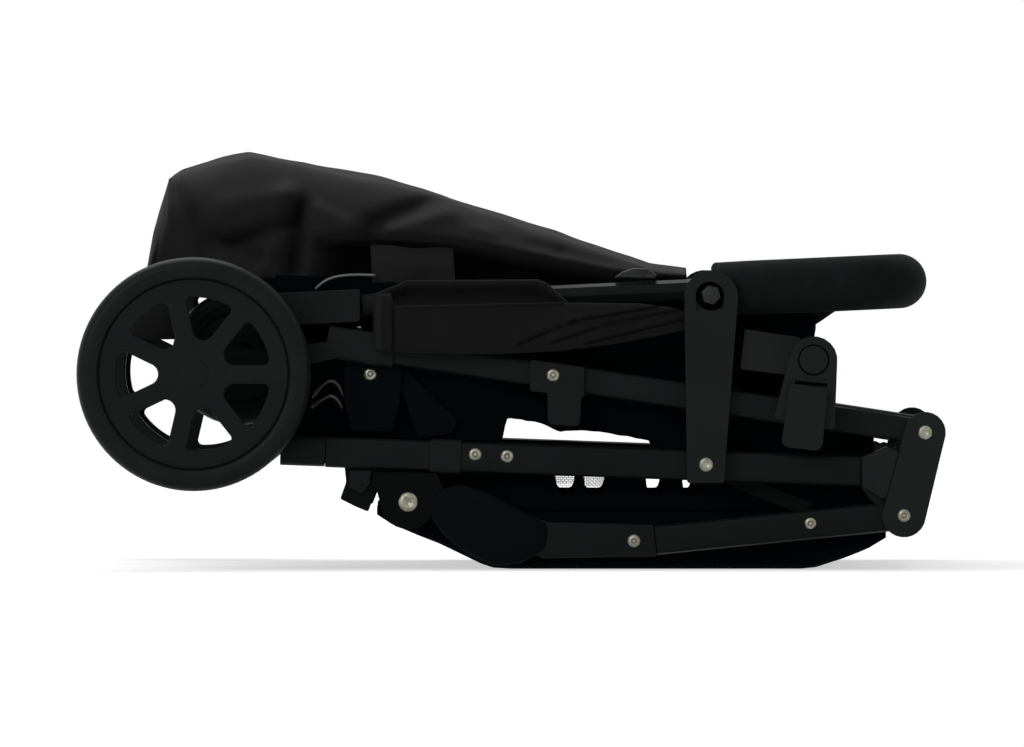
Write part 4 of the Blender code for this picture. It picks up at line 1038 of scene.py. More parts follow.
def canopy_point(u, v, depth):
    """A point of the near canopy: u from its rear edge to its front, v from its outer hem to its inner."""
    hem_height, hem_drop, least_wall, sag, wave = 0.2385, 0.0120, 0.008, 0.007, 0.0022
    x, top = along(CANOPY_TOP, u)
    hem = min(hem_height - hem_drop * smooth_step((x + 0.170) / 0.02), top - least_wall)
    width = CANOPY_INNER - CANOPY_NEAR
    across, up = open_section(v, top - hem, width, CANOPY_CORNER)
    y, z = CANOPY_NEAR + across, hem + up
    spread = across / width
    top_share = smooth_step(up / (top - hem) * 1.6 - 0.6)
    z -= sag * (2 * spread - 1) ** 2 * top_share
    z += wave * math.sin(26 * u + 3.0 * spread) * top_share * spread * (1 - spread) * 4 * (1 - u)
    wall = 1 - smooth_step((across - 0.004) / 0.055)
    for start, end, half, inwards in CANOPY_FOLDS:
        y += inwards * depth * crease(x, z, start, end, half) * wall
    lip = height_at(CANOPY_LIP, x)
    under = smooth_step((lip + 0.004 - z) / 0.016) * smooth_step((x + 0.175) / 0.045) * wall
    y += CANOPY_TUCK * under
    y += 0.0022 * ripple((x, y, z), 17) * wall + 0.0008 * ripple((x, y, z), 46, 3.0)
    z += (0.0014 * ripple((x, y, z), 14, 7.0) + 0.0008 * ripple((x, y, z), 40, 11.0)) * top_share
    x -= 0.0015 * ripple((x, y, z), 20, 5.0) * (1 - wall)
    return Vector((x, y, z))


def canopy_shade(spot):
    """Painted shade on the canopy: how deep in its folds or under its lip a point lies, and a dark line along
    its rear seam.
    """
    lip_shade, line_shade, line_width, shade_by_depth, fold_share = 0.92, 0.85, 0.0013, 45, 0.9
    wall = 1 - smooth_step((spot.y + 0.225) / 0.03)
    lip = height_at(CANOPY_LIP, spot.x)
    shade = smooth_step((lip + 0.001 - spot.z) / 0.007) * smooth_step((spot.x + 0.172) / 0.040) * lip_shade
    for start, end, half, inwards in CANOPY_FOLDS:
        if inwards > 0:
            deep = crease(spot.x, spot.z, start, end, half * fold_share)
            shade = max(shade, shade_by_depth * inwards * deep)
    return max(shade, line_shade * crease(spot.x, spot.z, *CANOPY_REAR_LINE, line_width)) * wall


def flap_side_point(u, v):
    """A point of the short side flap that hangs from the canopy's lip to the handle."""
    rear, run, face, bottom, top, tuck = -0.1140, 0.0680, -0.2890, 0.2345, 0.2660, 0.010
    x = rear + run * u - 0.002 * v
    z = bottom + (top - 0.003 * u - bottom) * v + 0.0008 * math.sin(9 * u)
    y = face + tuck * smooth_step(v * 2 - 1) + 0.0022 * math.sin(7 * u + 1) * v
    return Vector((x, y + 0.0010 * ripple((x, 0, z), 60), z))


class STROLLER_OT_canopies(bpy.types.Operator):
    """Two folded canopies, each one curved sheet with its folds, seams and side flap"""

    bl_idname = "stroller.canopies"
    bl_label = "Canopies"

    def execute(self, context):
        sizes = context.scene.stroller_sizes
        body = body_of_node("canopy_near")

        def surface(u, v):
            return canopy_point(u, v, sizes.fold_depth)

        shape = sheet_shape(190, 170, surface, CANOPY_SIZE)
        bmesh.ops.smooth_vert(shape, verts=[v for v in shape.verts if not v.is_boundary], factor=0.5,
                              use_axis_x=True, use_axis_y=True, use_axis_z=True)
        for canopy, label in soft_pair("canopy_cloth", shape, body, "canopy_cloth", "canopy",
                                       sizes.cloth_thickness, -1.0, canopy_shade):
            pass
        for name, line, width, lift, count in CANOPY_BANDS:
            seam_band(f"canopy_{name}", surface, line, width, lift, body, "canopy_cloth", count)
        for name, line in CANOPY_STITCHES:
            stitches(f"canopy_{name}_stitches", surface, line, body)
        shape = sheet_shape(48, 22, flap_side_point, FLAP_SIZE)
        for flap, label in soft_pair("canopy_flap", shape, body, "canopy_cloth", None,
                                     sizes.cloth_thickness, -1.0):
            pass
        return {"FINISHED"}


ROLL_TOP = ((-0.1140, 0.2262), (-0.0985, 0.2262), (-0.0968, 0.2160), (-0.0340, 0.2172), (0.0400, 0.2188),
            (0.1050, 0.2182), (0.1300, 0.2150), (0.1470, 0.2100))
ROLL_BOTTOM = ((-0.1140, 0.1812), (-0.1050, 0.1790), (-0.0700, 0.1772), (-0.0100, 0.1765), (0.0400, 0.1792),
               (0.0850, 0.1850), (0.1200, 0.1915), (0.1470, 0.1975))
# Start and end of each layer's edge in side view, its height and how far up it reaches
ROLL_FOLDS = (
    ((0.0060, 0.1862), (0.0500, 0.2045), 0.0036, 0.012), ((0.0500, 0.2045), (0.1200, 0.2165), 0.0032, 0.010),
    ((0.0330, 0.1870), (0.0800, 0.2030), 0.0030, 0.007), ((0.0800, 0.2030), (0.1330, 0.2130), 0.0026, 0.006),
    ((0.0600, 0.1862), (0.1000, 0.1960), 0.0028, 0.007), ((0.1000, 0.1960), (0.1406, 0.2060), 0.0024, 0.006),
    ((-0.0974, 0.1790), (-0.0978, 0.2250), 0.0022, 0.006),
)
ROLL_INNER_FACE, ROLL_THICK = -0.3272, 0.0172
WRAP_TOP = ((-0.1119, 0.2262), (-0.0857, 0.2372), (0.0217, 0.2378), (0.0290, 0.2350), (0.0463, 0.2195))
WRAP_SIZE = (0.158, 0.036)
# Name, radius, material and points of the roll's piping and of the thin pale edge beside the canopy
PIPING = (("roll_piping", 0.0009, "panel_cloth",
           ((-0.0975, -0.3425, 0.2148), (-0.0800, -0.3433, 0.2156), (-0.0340, -0.3432, 0.2166),
            (0.0050, -0.3420, 0.2174), (0.0430, -0.3398, 0.2182))),
          ("canopy_edge_wire", 0.0011, "pale_trim",
           ((-0.1610, -0.2960, 0.2300), (-0.1540, -0.2980, 0.2372), (-0.1400, -0.2990, 0.2412),
            (-0.1240, -0.2980, 0.2418), (-0.1120, -0.2950, 0.2412))))


def roll_shade(spot):
    """Painted shade: dark lines under the layers of cloth at the roll's folds."""
    shade, ahead, under, width, strength = 0.0, 0.0004, 0.0011, 0.0012, 0.85
    for start, end, _, _ in ROLL_FOLDS:
        below = [(x + ahead, z - under) for x, z in (start, end)]
        shade = max(shade, crease(spot.x, spot.z, *below, width))
    return shade * strength


def roll_point(u, v):
    """A point of the near side roll: u along it, v once round it from its inner face's middle."""
    rear, run, squareness, fullness, thin = -0.1135, 0.2605, 0.62, 0.45, 0.006
    x = rear + run * u
    low, high = height_at(ROLL_BOTTOM, x), height_at(ROLL_TOP, x)
    thick = ROLL_THICK * (1 - 0.88 * max(0.0, u) ** 2) * (1 - 0.75 * (1 - smooth_step(u / 0.03)))
    angle = 2 * math.pi * v
    middle, half = (low + high) / 2, (high - low) / 2
    up, out = math.sin(angle), (1 - math.cos(angle)) / 2
    z = middle + half * math.copysign(abs(up) ** squareness, up) * -1
    bulge = out ** fullness
    y = ROLL_INNER_FACE - thick * bulge
    for start, end, height, reach in ROLL_FOLDS:
        y -= height * overlap(x, z, start, end, reach) * bulge * min(1.0, thick / thin)
    y -= 0.0009 * ripple((x, 0, z), 38) * bulge * min(1.0, thick / thin)
    return Vector((x, min(y, ROLL_INNER_FACE), z))


def wrap_point(u, v):
    """A point of the cloth that folds over the handle's arm above the roll."""
    rear, run, low, bend, wall_share = -0.1119, 0.1582, 0.2140, 0.0026, 0.7
    outermost, innermost = -0.3290, -0.3172
    x = rear + run * u
    high = height_at(WRAP_TOP, x)
    if v < wall_share:
        share = v / wall_share
        z = low + (high - bend - low) * share
        y = -0.3276 + 0.0085 * math.sin(math.pi * min(1.0, share * 1.1)) * smooth_step(u * 6)
    else:
        angle = math.pi * (v - wall_share) / 0.3
        z = high - bend + bend * math.sin(angle)
        y = -0.3250 - bend * math.cos(angle)
    y = max(outermost, y) + 0.0007 * ripple((x, 0, z), 45)
    return Vector((x, min(y, innermost), z))


class STROLLER_OT_rolls(bpy.types.Operator):
    """Rolled side panels, and the cloth that wraps the handle's arms above them"""

    bl_idname = "stroller.rolls"
    bl_label = "Side rolls"

    def execute(self, context):
        body = body_of_node("side_roll_near")
        shape = closed_shape(300, 110, roll_point, (0.262, 0.120))
        for roll, _ in soft_pair("side_roll_cloth", shape, body, "panel_cloth", "side_roll",
                                 shade=roll_shade):
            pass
        shape = sheet_shape(120, 40, wrap_point, WRAP_SIZE)
        for wrap, label in soft_pair("handle_wrap", shape, body, "panel_cloth", None,
                                     context.scene.stroller_sizes.cloth_thickness, -1.0):
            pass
        for name, radius, material, points in PIPING:
            mirrored(tube_piece(f"{name}_near", points, radius, body, material, "black_fabric"), body)
        return {"FINISHED"}


# The foot pad's outline, in the photograph's pixels, its inner face, and the dent across it
FOOT_PAD = ((436, 492), (458, 484), (486, 492), (516, 508), (548, 524), (546, 548), (522, 563), (494, 566),
            (468, 554), (446, 538), (430, 516))
FOOT_PAD_FACE, FOOT_PAD_DENT = -0.3272, ((-0.035, 0.062), (0.005, 0.012))


def outline_point(points, share):
    """The point at a share of the length of a closed outline, with its corners softened."""
    shifts = (-0.02, -0.01, 0, 0.01, 0.02)
    total = Vector((0, 0))
    for shift in shifts:
        total += along([*points, points[0]], (share + shift) % 1.0)
    return total / len(shifts)


class STROLLER_OT_foot_pads(bpy.types.Operator):
    """Soft pads over the bent ends of the lower rails"""

    bl_idname = "stroller.foot_pads"
    bl_label = "Foot pads"

    def execute(self, context):
        outline = scaled(FOOT_PAD)
        middle = sum((Vector(p) for p in outline), Vector((0, 0))) / len(outline)

        def place(u, v):
            reach = 1 - abs(2 * v - 1)
            spot = middle.lerp(outline_point(outline, u % 1.0), 1 - reach ** 1.6)
            y = FOOT_PAD_FACE
            if v >= 0.5:
                crown = 1 - (1 - reach) ** 3
                y = y - 0.0078 * crown - 0.0011 * ripple((spot.x, 0, spot.y), 70) * crown
                y += 0.0022 * crown * crease(spot.x, spot.y, *FOOT_PAD_DENT, 0.004)
            return Vector((spot.x, y, spot.y))

        shape = closed_shape(90, 44, place, (0.24, 0.10))
        for pad, _ in soft_pair("foot_pad", shape, body_of_node("rail_end_near"), "pad_cloth"):
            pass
        return {"FINISHED"}


SLING_BOTTOM = ((-0.1110, 0.0455), (-0.0980, 0.0365), (-0.0590, 0.0205), (-0.0260, 0.0045), (-0.0150, 0.0008),
                (0.0000, 0.0), (0.2380, 0.0), (0.2500, 0.0012), (0.2720, 0.0080), (0.2940, 0.0175),
                (0.3080, 0.0260))
SLING_TOP = ((-0.1110, 0.0520), (-0.0800, 0.0585), (0.2780, 0.0590), (0.3080, 0.0350))
SLING_NEAR, SLING_INNER = -0.3034, -0.0085


def sling_point(u, v):
    """A point of the near seat sling: u goes forwards, v goes once round it."""
    rear, run, corner, sag = -0.1105, 0.4180, 0.022, 0.010
    x = rear + run * u
    low, high = height_at(SLING_BOTTOM, x), height_at(SLING_TOP, x)
    width = SLING_INNER - SLING_NEAR
    across, up = closed_section(v, high - low, width, corner)
    y, z = SLING_NEAR + across, low + up
    upward = up / (high - low)
    inward = math.sin(math.pi * across / width)
    z -= sag * inward * smooth_step(upward * 2 - 1) * smooth_step(u * 6) * smooth_step((1 - u) * 6)
    folds = math.sin(95 * x + 9 * y + 3 * ripple((x, y, 0), 9)) * 0.0022
    z += folds * smooth_step(upward * 2 - 1) * inward
    lifted = smooth_step(z / 0.012)
    y += (0.0028 * ripple((x, 0, z), 26) + 0.0010 * ripple((x, 0, z), 70, 2.0)) * (1 - inward) * lifted
    y = min(max(y, SLING_NEAR), SLING_INNER)
    z = max(0.0, z + 0.0012 * ripple((x, y, 0), 30, 4.0) * lifted)
    return Vector((x, y, z))


class STROLLER_OT_slings(bpy.types.Operator):
    """Folded seat slings that the stroller lies on"""

    bl_idname = "stroller.slings"
    bl_label = "Seat slings"

    def execute(self, context):
        body = body_of_node("seat_sling_near")
        shape = closed_shape(220, 150, sling_point, (0.42, 0.70))
        for sling, _ in soft_pair("seat_sling_cloth", shape, body, "lining_cloth", "seat_sling"):
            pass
        for name, height in (("low", 0.60), ("high", 0.93)):
            line = ((0.05, height), (0.95, height))
            seam_band(f"sling_{name}_seam", sling_point, line, 0.0050, 0.0006, body, "lining_cloth", 90)
        return {"FINISHED"}


def basket_point(u, v):
    """A point of the basket's panel, which stands in soft folds on the centre strut: v goes across."""
    low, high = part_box("basket_panel")
    y = low.y + (high.y - low.y) * v
    share = abs(2 * v - 1)
    angle = 2 * math.pi * u
    base_slope, crest_slope, squareness = -0.0362, 0.146, 0.25
    x_half = (high.x - low.x) / 2 - 0.003
    x = (high.x + low.x) / 2 + x_half * math.copysign(abs(math.cos(angle)) ** squareness, math.cos(angle))
    base = low.z + 0.0030 + base_slope * (x - low.x)
    crest = high.z - 0.004 - crest_slope * (x - low.x)
    up = math.copysign(abs(math.sin(angle)) ** squareness, math.sin(angle)) * 0.5 + 0.5
    z = base + (crest - base) * up
    fold = 0.0035 * math.sin(21 * y + 4 * ripple((x, y, z), 12)) + 0.0020 * ripple((x, y, z), 40)
    x += fold * 0.7
    z += fold * smooth_step(up * 2 - 1) - 0.004 * smooth_step(1 - share * 1.2) * smooth_step(up * 2 - 1)
    return Vector((min(max(x, low.x), high.x), y, min(z, high.z)))


class STROLLER_OT_basket(bpy.types.Operator):
    """The folded basket between the frame's sides"""

    bl_idname = "stroller.basket"
    bl_label = "Basket"

    def execute(self, context):
        shape = closed_shape(64, 160, basket_point, (0.30, 0.57))
        basket = new_piece("basket_cloth", shape, body_of_node("basket_panel"), "lining_cloth",
                           "black_fabric", ("basket_panel",))
        return {"FINISHED"}


GRIP_FLAP_LOW = ((0.1870, 0.2020), (0.1980, 0.2010), (0.2380, 0.1965), (0.2520, 0.2030), (0.2690, 0.2150))
GRIP_FLAP_SIZE, GRIP_FLAP_TOP, GRIP_FLAP_GAP = (0.086, 0.61), 0.2290, 0.001


def grip_flap_point(u, v):
    """A point of the cloth that hangs in the foam grip's loop: u goes forwards, v goes across."""
    low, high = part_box("grip_flap")
    x = low.x + GRIP_FLAP_GAP + (high.x - low.x - 2 * GRIP_FLAP_GAP) * u
    y = low.y + GRIP_FLAP_GAP + (high.y - low.y - 2 * GRIP_FLAP_GAP) * v
    edge = min(1.0, abs(2 * v - 1))
    sag = height_at(GRIP_FLAP_LOW, x)
    z = GRIP_FLAP_TOP - (GRIP_FLAP_TOP - sag) * smooth_step((1 - edge) * 40 + 0.05)
    z += 0.0022 * math.sin(30 * y + 5 * ripple((x, y, 0), 9)) * (1 - edge ** 8)
    return Vector((x, y, z))


class STROLLER_OT_flap(bpy.types.Operator):
    """Cloth that hangs between the arms of the foam grip"""

    bl_idname = "stroller.flap"
    bl_label = "Grip flap"

    def execute(self, context):
        shape = sheet_shape(40, 220, grip_flap_point, GRIP_FLAP_SIZE)
        bmesh.ops.recalc_face_normals(shape, faces=shape.faces)
        flap = new_piece("grip_flap_cloth", shape, body_of_node("grip_flap"), "panel_cloth", "black_fabric",
                         ("grip_flap",))
        thicken(flap, context.scene.stroller_sizes.cloth_thickness)
        return {"FINISHED"}


STRAP_LINE = ((0.178, -0.3048, 0.0760), (0.200, -0.3052, 0.0665), (0.226, -0.3052, 0.0560),
              (0.246, -0.3050, 0.0480))
STRAP_LENGTH, STRAP_ACROSS = 0.078, (0.35, 0, 0.9)
# Outlines in the photograph's pixels
STRAP_END = ((344, 463), (376, 463), (378, 486), (368, 512), (356, 507), (340, 499), (346, 482))
STRAP_SLIDE = ((350, 470), (372, 470), (370, 484), (362, 494), (349, 488))


class STROLLER_OT_webbing(bpy.types.Operator):
    """Harness webbing under the front tubes, and the strap ends that hang at their rear end"""

    bl_idname = "stroller.webbing"
    bl_label = "Webbing and slides"

    def execute(self, context):
        width = context.scene.stroller_sizes.webbing_width * 0.5
        body = body_of_node("front_tube_near")
        spots = [Vector(p) for p in STRAP_LINE]
        across = Vector(STRAP_ACROSS).normalized()
        run = line_length(spots)
        shape = sheet_shape(max(8, int(run / 0.004)), 6,
                            lambda u, v: along(spots, u) + across * (width * (v - 0.5)), (run, width))
        bmesh.ops.smooth_vert(shape, verts=[v for v in shape.verts if not v.is_boundary], factor=0.5,
                              use_axis_x=True, use_axis_y=True, use_axis_z=True)
        for strap, _ in soft_pair("harness_strap", shape, body, "webbing_cloth", thickness=0.0016):
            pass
        for label, side in SIDES:
            plate_piece(f"strap_end_{label}", scaled(STRAP_END), side * 0.3180, side * 0.3120, 0.0014, body,
                        ("webbing_cloth", "black_fabric"))
            plate_piece(f"strap_slide_{label}", scaled(STRAP_SLIDE), side * 0.3205, side * 0.3175, 0.0008,
                        body, PLASTIC)
        return {"FINISHED"}


# Name, the CAD node whose body carries it, outline in the photograph's pixels, outer and inner depth, edge
# radius and finish of each small plate
PLATES = (
    ("knee_web", "knee_bracket_{}", ((862, 456), (880, 453), (897, 447), (912, 462), (902, 516), (889, 524),
                                     (879, 509), (868, 497), (862, 489)), 0.3245, 0.3080, 0.0016, PLASTIC),
    # A near-black plate in the front tube's joint: painted shade where the rounded tube ends leave a notch
    ("tube_plug", "front_tube_near", ((318, 443), (334, 443), (334, 463.5), (318, 463.5)),
     0.3165, 0.3085, 0.0006, DARK_GAP_AND_SHADE),
    ("rear_plate", "rear_end_{}", ((344, 357), (398, 360), (402, 374), (399, 404), (392, 432), (352, 432),
                                   (344, 404)), 0.3120, 0.3070, 0.0012, ("lining_plate", "painted_tube")),
    ("rear_gusset", "rear_end_{}", ((386, 363), (402, 366), (432, 396), (457, 420), (452, 434), (418, 439),
                                    (405, 400)), 0.3066, 0.3046, 0.0006, ("lining_plate", "black_fabric")),
    ("handle_fitting", "handle_bar", ((614, 278), (622, 272), (634, 268), (648, 269), (657, 275), (656, 279)),
     0.3110, 0.3010, 0.0014, ("dark_hardware", "black_plastic")),
)
SPRINGS = (((313, 398), (322, 382), (338, 380), (344, 398)), ((312, 408), (324, 396), (337, 396), (343, 410)))
SPRING_DEPTHS = (0.3050, 0.3095, 0.3100, 0.3050)
LEVER_SLOT, LEVER_SLOT_SPOT = ((795, 380.5), (827, 383.5), (827, 386.5), (795, 384.0)), (810, 379)
REAR_PLATE_RIVET = (-0.1160, 0.3120, 0.1603)


class STROLLER_OT_plates(bpy.types.Operator):
    """Webs and plates that fill out the castings, a near-black plate of painted shade in the front tube's
    joint, and the dark rings and slots of the hinges
    """

    bl_idname = "stroller.plates"
    bl_label = "Webs and small plates"

    def execute(self, context):
        profile = rivet_profile(context.scene.stroller_sizes.rivet_radius)
        for label, side in SIDES:
            for name, node, outline, outer, inner, radius, finish in PLATES:
                plate_piece(f"{name}_{label}", scaled(outline), side * outer, side * inner, radius,
                            body_of_node(node.format(label)), finish)
            body = body_of_node(f"rear_end_{label}")
            for index, spots in enumerate(SPRINGS):
                points = [(x, side * y, z) for (x, z), y in zip(scaled(spots), SPRING_DEPTHS)]
                tube_piece(f"retaining_spring_{index}_{label}", points, 0.0019, body, "spring_steel",
                           "rivet_steel")
            x, y, z = REAR_PLATE_RIVET
            turned_piece(f"rivet_rear_plate_{label}", profile, (x, side * y, z), (0, side, 0), 28, body,
                         RIVET)
            self.hinge_marks(label, side, f"hinge_housing_{label}")
        return {"FINISHED"}

    def hinge_marks(self, label, side, housing):
        """A dark ring round the release button, and the dark slot above the lever."""
        centre, size, _ = node_box(f"release_button_{label}", side)
        outer, body, clear_of_edge = size.x / 2, body_of_node(housing), 0.0035
        depth = face_depth(housing, centre.x - outer - clear_of_edge, centre.z, side)
        inner_edge, outer_edge = outer + 0.0002, outer + 0.0011
        ring = ((inner_edge, -0.0004), (outer_edge, -0.0004), (outer_edge, 0.0002), (inner_edge, 0.0002),
                (inner_edge, -0.0004))
        turned_piece(f"button_ring_{label}", ring, (centre.x, depth, centre.z), (0, side, 0), 48, body,
                     DARK_GAP_AND_SHADE)
        face = face_depth(housing, *scaled([LEVER_SLOT_SPOT])[0], side)
        plate_piece(f"lever_slot_{label}", scaled(LEVER_SLOT), face + side * 0.0003, face - side * 0.0008,
                    0.0002, body, DARK_GAP_AND_SHADE)


# Lower edges of the seat cloths in side view, and both edges of the seat back's cloth
SEAT_FOLD_LOW = ((-0.0200, 0.1250), (0.0234, 0.1215), (0.0562, 0.1165), (0.1136, 0.1075), (0.1400, 0.1010),
                 (0.2750, 0.0965))
SEAT_SIDE_LOW = ((-0.1700, 0.1085), (-0.1000, 0.1070), (-0.0080, 0.1035), (-0.0040, 0.1240), (0.0040, 0.1235),
                 (0.0234, 0.1201), (0.0300, 0.1168), (0.0400, 0.1128), (0.0562, 0.1140), (0.0726, 0.1128),
                 (0.1136, 0.1054), (0.1190, 0.0950), (0.2850, 0.0915), (0.2980, 0.0925))
SEAT_BACK_LOW = ((-0.2050, 0.1830), (-0.1515, 0.1800), (-0.1505, 0.1985), (-0.1225, 0.1985),
                 (-0.1215, 0.1845), (0.1500, 0.1480), (0.2200, 0.1400), (0.2300, 0.1480), (0.2480, 0.1850),
                 (0.2500, 0.1980))
SEAT_BACK_HIGH = ((-0.2050, 0.2420), (-0.1500, 0.2400), (-0.1400, 0.2360), (0.1600, 0.2300), (0.1800, 0.2100),
                  (0.2500, 0.2080))
SEAT_SIDE_SIZE, SEAT_BACK_SIZE, HEM_SIZE = (0.470, 0.066), (0.457, 0.066), (0.045, 0.056)
REAR_TUBE_START = -0.0973


def rear_tube_height(x):
    """Height of the rear tube's middle line."""
    return 0.181 - 0.162 * (x - REAR_TUBE_START)


def seat_side_point(u, v):
    """A point of the seat cloth that hangs from the rear tube, in side view close behind the tubes."""
    rear, run, face, outermost, swell, under_tube = -0.1765, 0.4740, -0.3030, -0.3040, 0.0045, 0.002
    x = rear + run * u
    low = height_at(SEAT_SIDE_LOW, x) + 0.0009 * ripple((x, 0, 0), 120)
    high = rear_tube_height(max(x, REAR_TUBE_START)) - under_tube
    z = low + (high - low) * v
    y = face + swell * (0.5 + 0.5 * ripple((x * 1.5, 0, z), 30)) * smooth_step(2 - 2 * v)
    y += 0.0030 * crease(x, z, (-0.0996, 0.1677), (-0.0791, 0.1062), 0.0030)
    y -= 0.0020 * crease(x, z, (-0.0955, 0.1652), (-0.0463, 0.1226), 0.0040)
    y += 0.0040 * crease(x, z, (0.0100, 0.1550), (0.0700, 0.1180), 0.0060)
    return Vector((x, max(y, outermost), z))


def seat_fold_point(u, v):
    """A point of the seat cloth that lies folded between the frame's sides."""
    rear, run, near, width, corner, under_tube = -0.0190, 0.2900, -0.2870, 0.2710, 0.012, 0.004
    x = rear + run * u
    low, high = height_at(SEAT_FOLD_LOW, x), rear_tube_height(x) - under_tube
    across, up = closed_section(v, high - low, width, corner)
    y, z = near + across, low + up
    upward = up / (high - low)
    inward = math.sin(math.pi * across / width)
    ends = smooth_step(u * 8) * smooth_step((1 - u) * 8)
    folds = 0.0034 * math.sin(70 * x + 14 * y + 4 * ripple((x, y, 0), 8))
    z += (folds - 0.004) * smooth_step(upward * 2 - 1) * inward * ends
    z -= 0.0025 * math.sin(50 * x + 2) * smooth_step(1 - 2 * upward) * inward * ends * 0.5
    thickness_share = 0.35 + 0.65 * smooth_step(min(u, 1 - u) * 14)
    z = low + (high - low) / 2 + (z - low - (high - low) / 2) * thickness_share
    return Vector((x, y + 0.0016 * ripple((x, 0, z), 40) * (1 - inward), z))


def seat_back_point(u, v):
    """A point of the seat back's cloth, which hangs inside the handle's arms."""
    rear, run, face, swell = -0.2050, 0.4550, -0.2905, 0.0045
    x = rear + run * u
    low = height_at(SEAT_BACK_LOW, x) + 0.0010 * ripple((x, 0, 0), 90)
    z = low + (height_at(SEAT_BACK_HIGH, x) - low) * v
    fold = swell * (0.5 + 0.5 * ripple((x, 0, z * 0.7), 28, 6.0)) * smooth_step(2 - 2 * v)
    fold += 0.0030 * crease(x, z, (0.0900, 0.1950), (0.1500, 0.1600), 0.0060)
    return Vector((x, face + fold, z))


def hem_point(u, v):
    """A point of the canopy's rear hem, which hangs behind the wheel."""
    low, rise, rear, lean, front, face = 0.1905, 0.0560, -0.3130, 0.0110, -0.2680, -0.2885
    z = low + rise * v
    left = rear + lean * v
    x = left + (front - left) * u
    return Vector((x, face + 0.0022 * ripple((x, 0, z), 35), z - 0.002 * math.sin(2.4 * u) * (1 - v)))


class STROLLER_OT_seats(bpy.types.Operator):
    """Seat cloth that hangs from the rear tubes and lies folded between them, and the canopies' rear hems"""

    bl_idname = "stroller.seats"
    bl_label = "Folded seat cloth"

    def execute(self, context):
        thickness = context.scene.stroller_sizes.cloth_thickness
        shape = sheet_shape(260, 36, seat_side_point, SEAT_SIDE_SIZE)
        body = body_of_node("rear_tube_near")
        for sheet, label in soft_pair("seat_side_cloth", shape, body, "lining_cloth", thickness=thickness):
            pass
        shape = closed_shape(150, 110, seat_fold_point, (0.29, 0.62))
        for pad, _ in soft_pair("seat_fold_cloth", shape, body, "lining_cloth"):
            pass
        shape = sheet_shape(30, 36, hem_point, HEM_SIZE)
        body = body_of_node("canopy_near")
        for hem, label in soft_pair("canopy_hem", shape, body, "canopy_cloth", thickness=thickness):
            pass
        shape = sheet_shape(230, 30, seat_back_point, SEAT_BACK_SIZE)
        body = body_of_node("side_roll_near")
        for sheet, label in soft_pair("seat_back_cloth", shape, body, "lining_cloth", thickness=thickness):
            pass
        return {"FINISHED"}


# Start and end of each opening in the cloth under the front tube, and the height of its netting's top
NET_HOLES = ((0.0355, 0.0545, 0.0755), (0.0585, 0.0800, 0.0735), (0.1095, 0.1265, 0.0705),
             (0.1395, 0.1525, 0.0705))
NET_PITCH, NET_THREAD, NET_HEIGHT = 0.0015, 0.00030, 0.014
SEAT_EDGE_SIZE = (0.385, 0.036)


def curtain_height(x):
    """Top edge of the dark cloth under the front tube, with its four openings."""
    high, hole_low, hole_depth = 0.0840, 0.0615, 0.0225
    for start, end, _ in NET_HOLES:
        if start < x < end:
            share = (x - start) / (end - start)
            high = min(high, hole_low + hole_depth * abs(2 * share - 1) ** 6)
    return high


def seat_edge_point(u, v):
    """A point of the dark cloth under the front tube."""
    rear, run, face, low, swell = -0.0800, 0.3850, -0.3032, 0.0480, 0.0030
    x = rear + run * u
    z = low + (curtain_height(x) - low) * v
    return Vector((x, face + swell * (0.5 + 0.5 * ripple((x, 0, z), 34)), z))


class STROLLER_OT_netting(bpy.types.Operator):
    """Seat cloth under the front tubes, and the netting that shows in its openings"""

    bl_idname = "stroller.netting"
    bl_label = "Netting"

    def execute(self, context):
        body = body_of_node("front_tube_near")
        thickness = context.scene.stroller_sizes.cloth_thickness
        shape = sheet_shape(365, 14, seat_edge_point, SEAT_EDGE_SIZE)
        for edge, label in soft_pair("seat_edge_cloth", shape, body, "lining_cloth", thickness=thickness):
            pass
        for index, hole in enumerate(NET_HOLES[:2]):
            self.net(f"netting_{index}", *hole, body)
        return {"FINISHED"}

    def net(self, name, start, end, high, body):
        """A patch of netting made of fine threads, on both sides."""
        shape = bmesh.new()
        shape.loops.layers.uv.new(UV_NAME)
        bmesh.ops.create_grid(shape, x_segments=int((end - start) / NET_PITCH),
                              y_segments=int(NET_HEIGHT / NET_PITCH), size=0.5)
        for vertex in shape.verts:
            across, up = vertex.co.x + 0.5, vertex.co.y + 0.5
            wave = 0.0004 * math.sin(40 * across) * math.sin(30 * up)
            x, z = start + (end - start) * across + wave, high + 0.004 - NET_HEIGHT * up + wave
            vertex.co = (x, -0.2990, z)
        bmesh.ops.wireframe(shape, faces=list(shape.faces), thickness=NET_THREAD, use_replace=True,
                            use_boundary=False, use_even_offset=False)
        bmesh.ops.recalc_face_normals(shape, faces=shape.faces)
        mirrored(new_piece(f"{name}_near", shape, body, "webbing_cloth", "black_fabric", smooth=False), body)


# How far the floor lies under the stroller, how far it reaches, and how it rises behind the stroller
FLOOR_DROP, FLOOR_REACH = 0.0003, 40
FLOOR_RISE, RISE_START, RISE_LENGTH = 0.070, 0.33, 0.75
# Name, place, size and power of each lamp, and the spot that they face
LAMPS = (("overhead", (-0.30, 0.60, 1.9), 1.5, 20), ("front", (-1.5, -2.5, 1.5), 1.4, 24))
LAMP_AIM = (0, 0, 0.15)
# The camera's aim, its distance, its height angle in degrees, its sensor's width, and the width that it shows
CAMERA_AIM = (0.0004, -0.3300, 0.1607)
CAMERA_DISTANCE, CAMERA_TILT, CAMERA_SENSOR, CAMERA_FIELD = 20.0, 0.25, 36.0, 0.8396


def white_rays(tree):
    """1 for the rays that see the background as white: the camera's and those of reflections."""
    rays = tree.nodes.new("ShaderNodeLightPath")
    seen = math_node(tree, "MAXIMUM", rays.outputs["Is Camera Ray"], rays.outputs["Is Glossy Ray"])
    return math_node(tree, "MAXIMUM", seen, rays.outputs["Is Transmission Ray"])


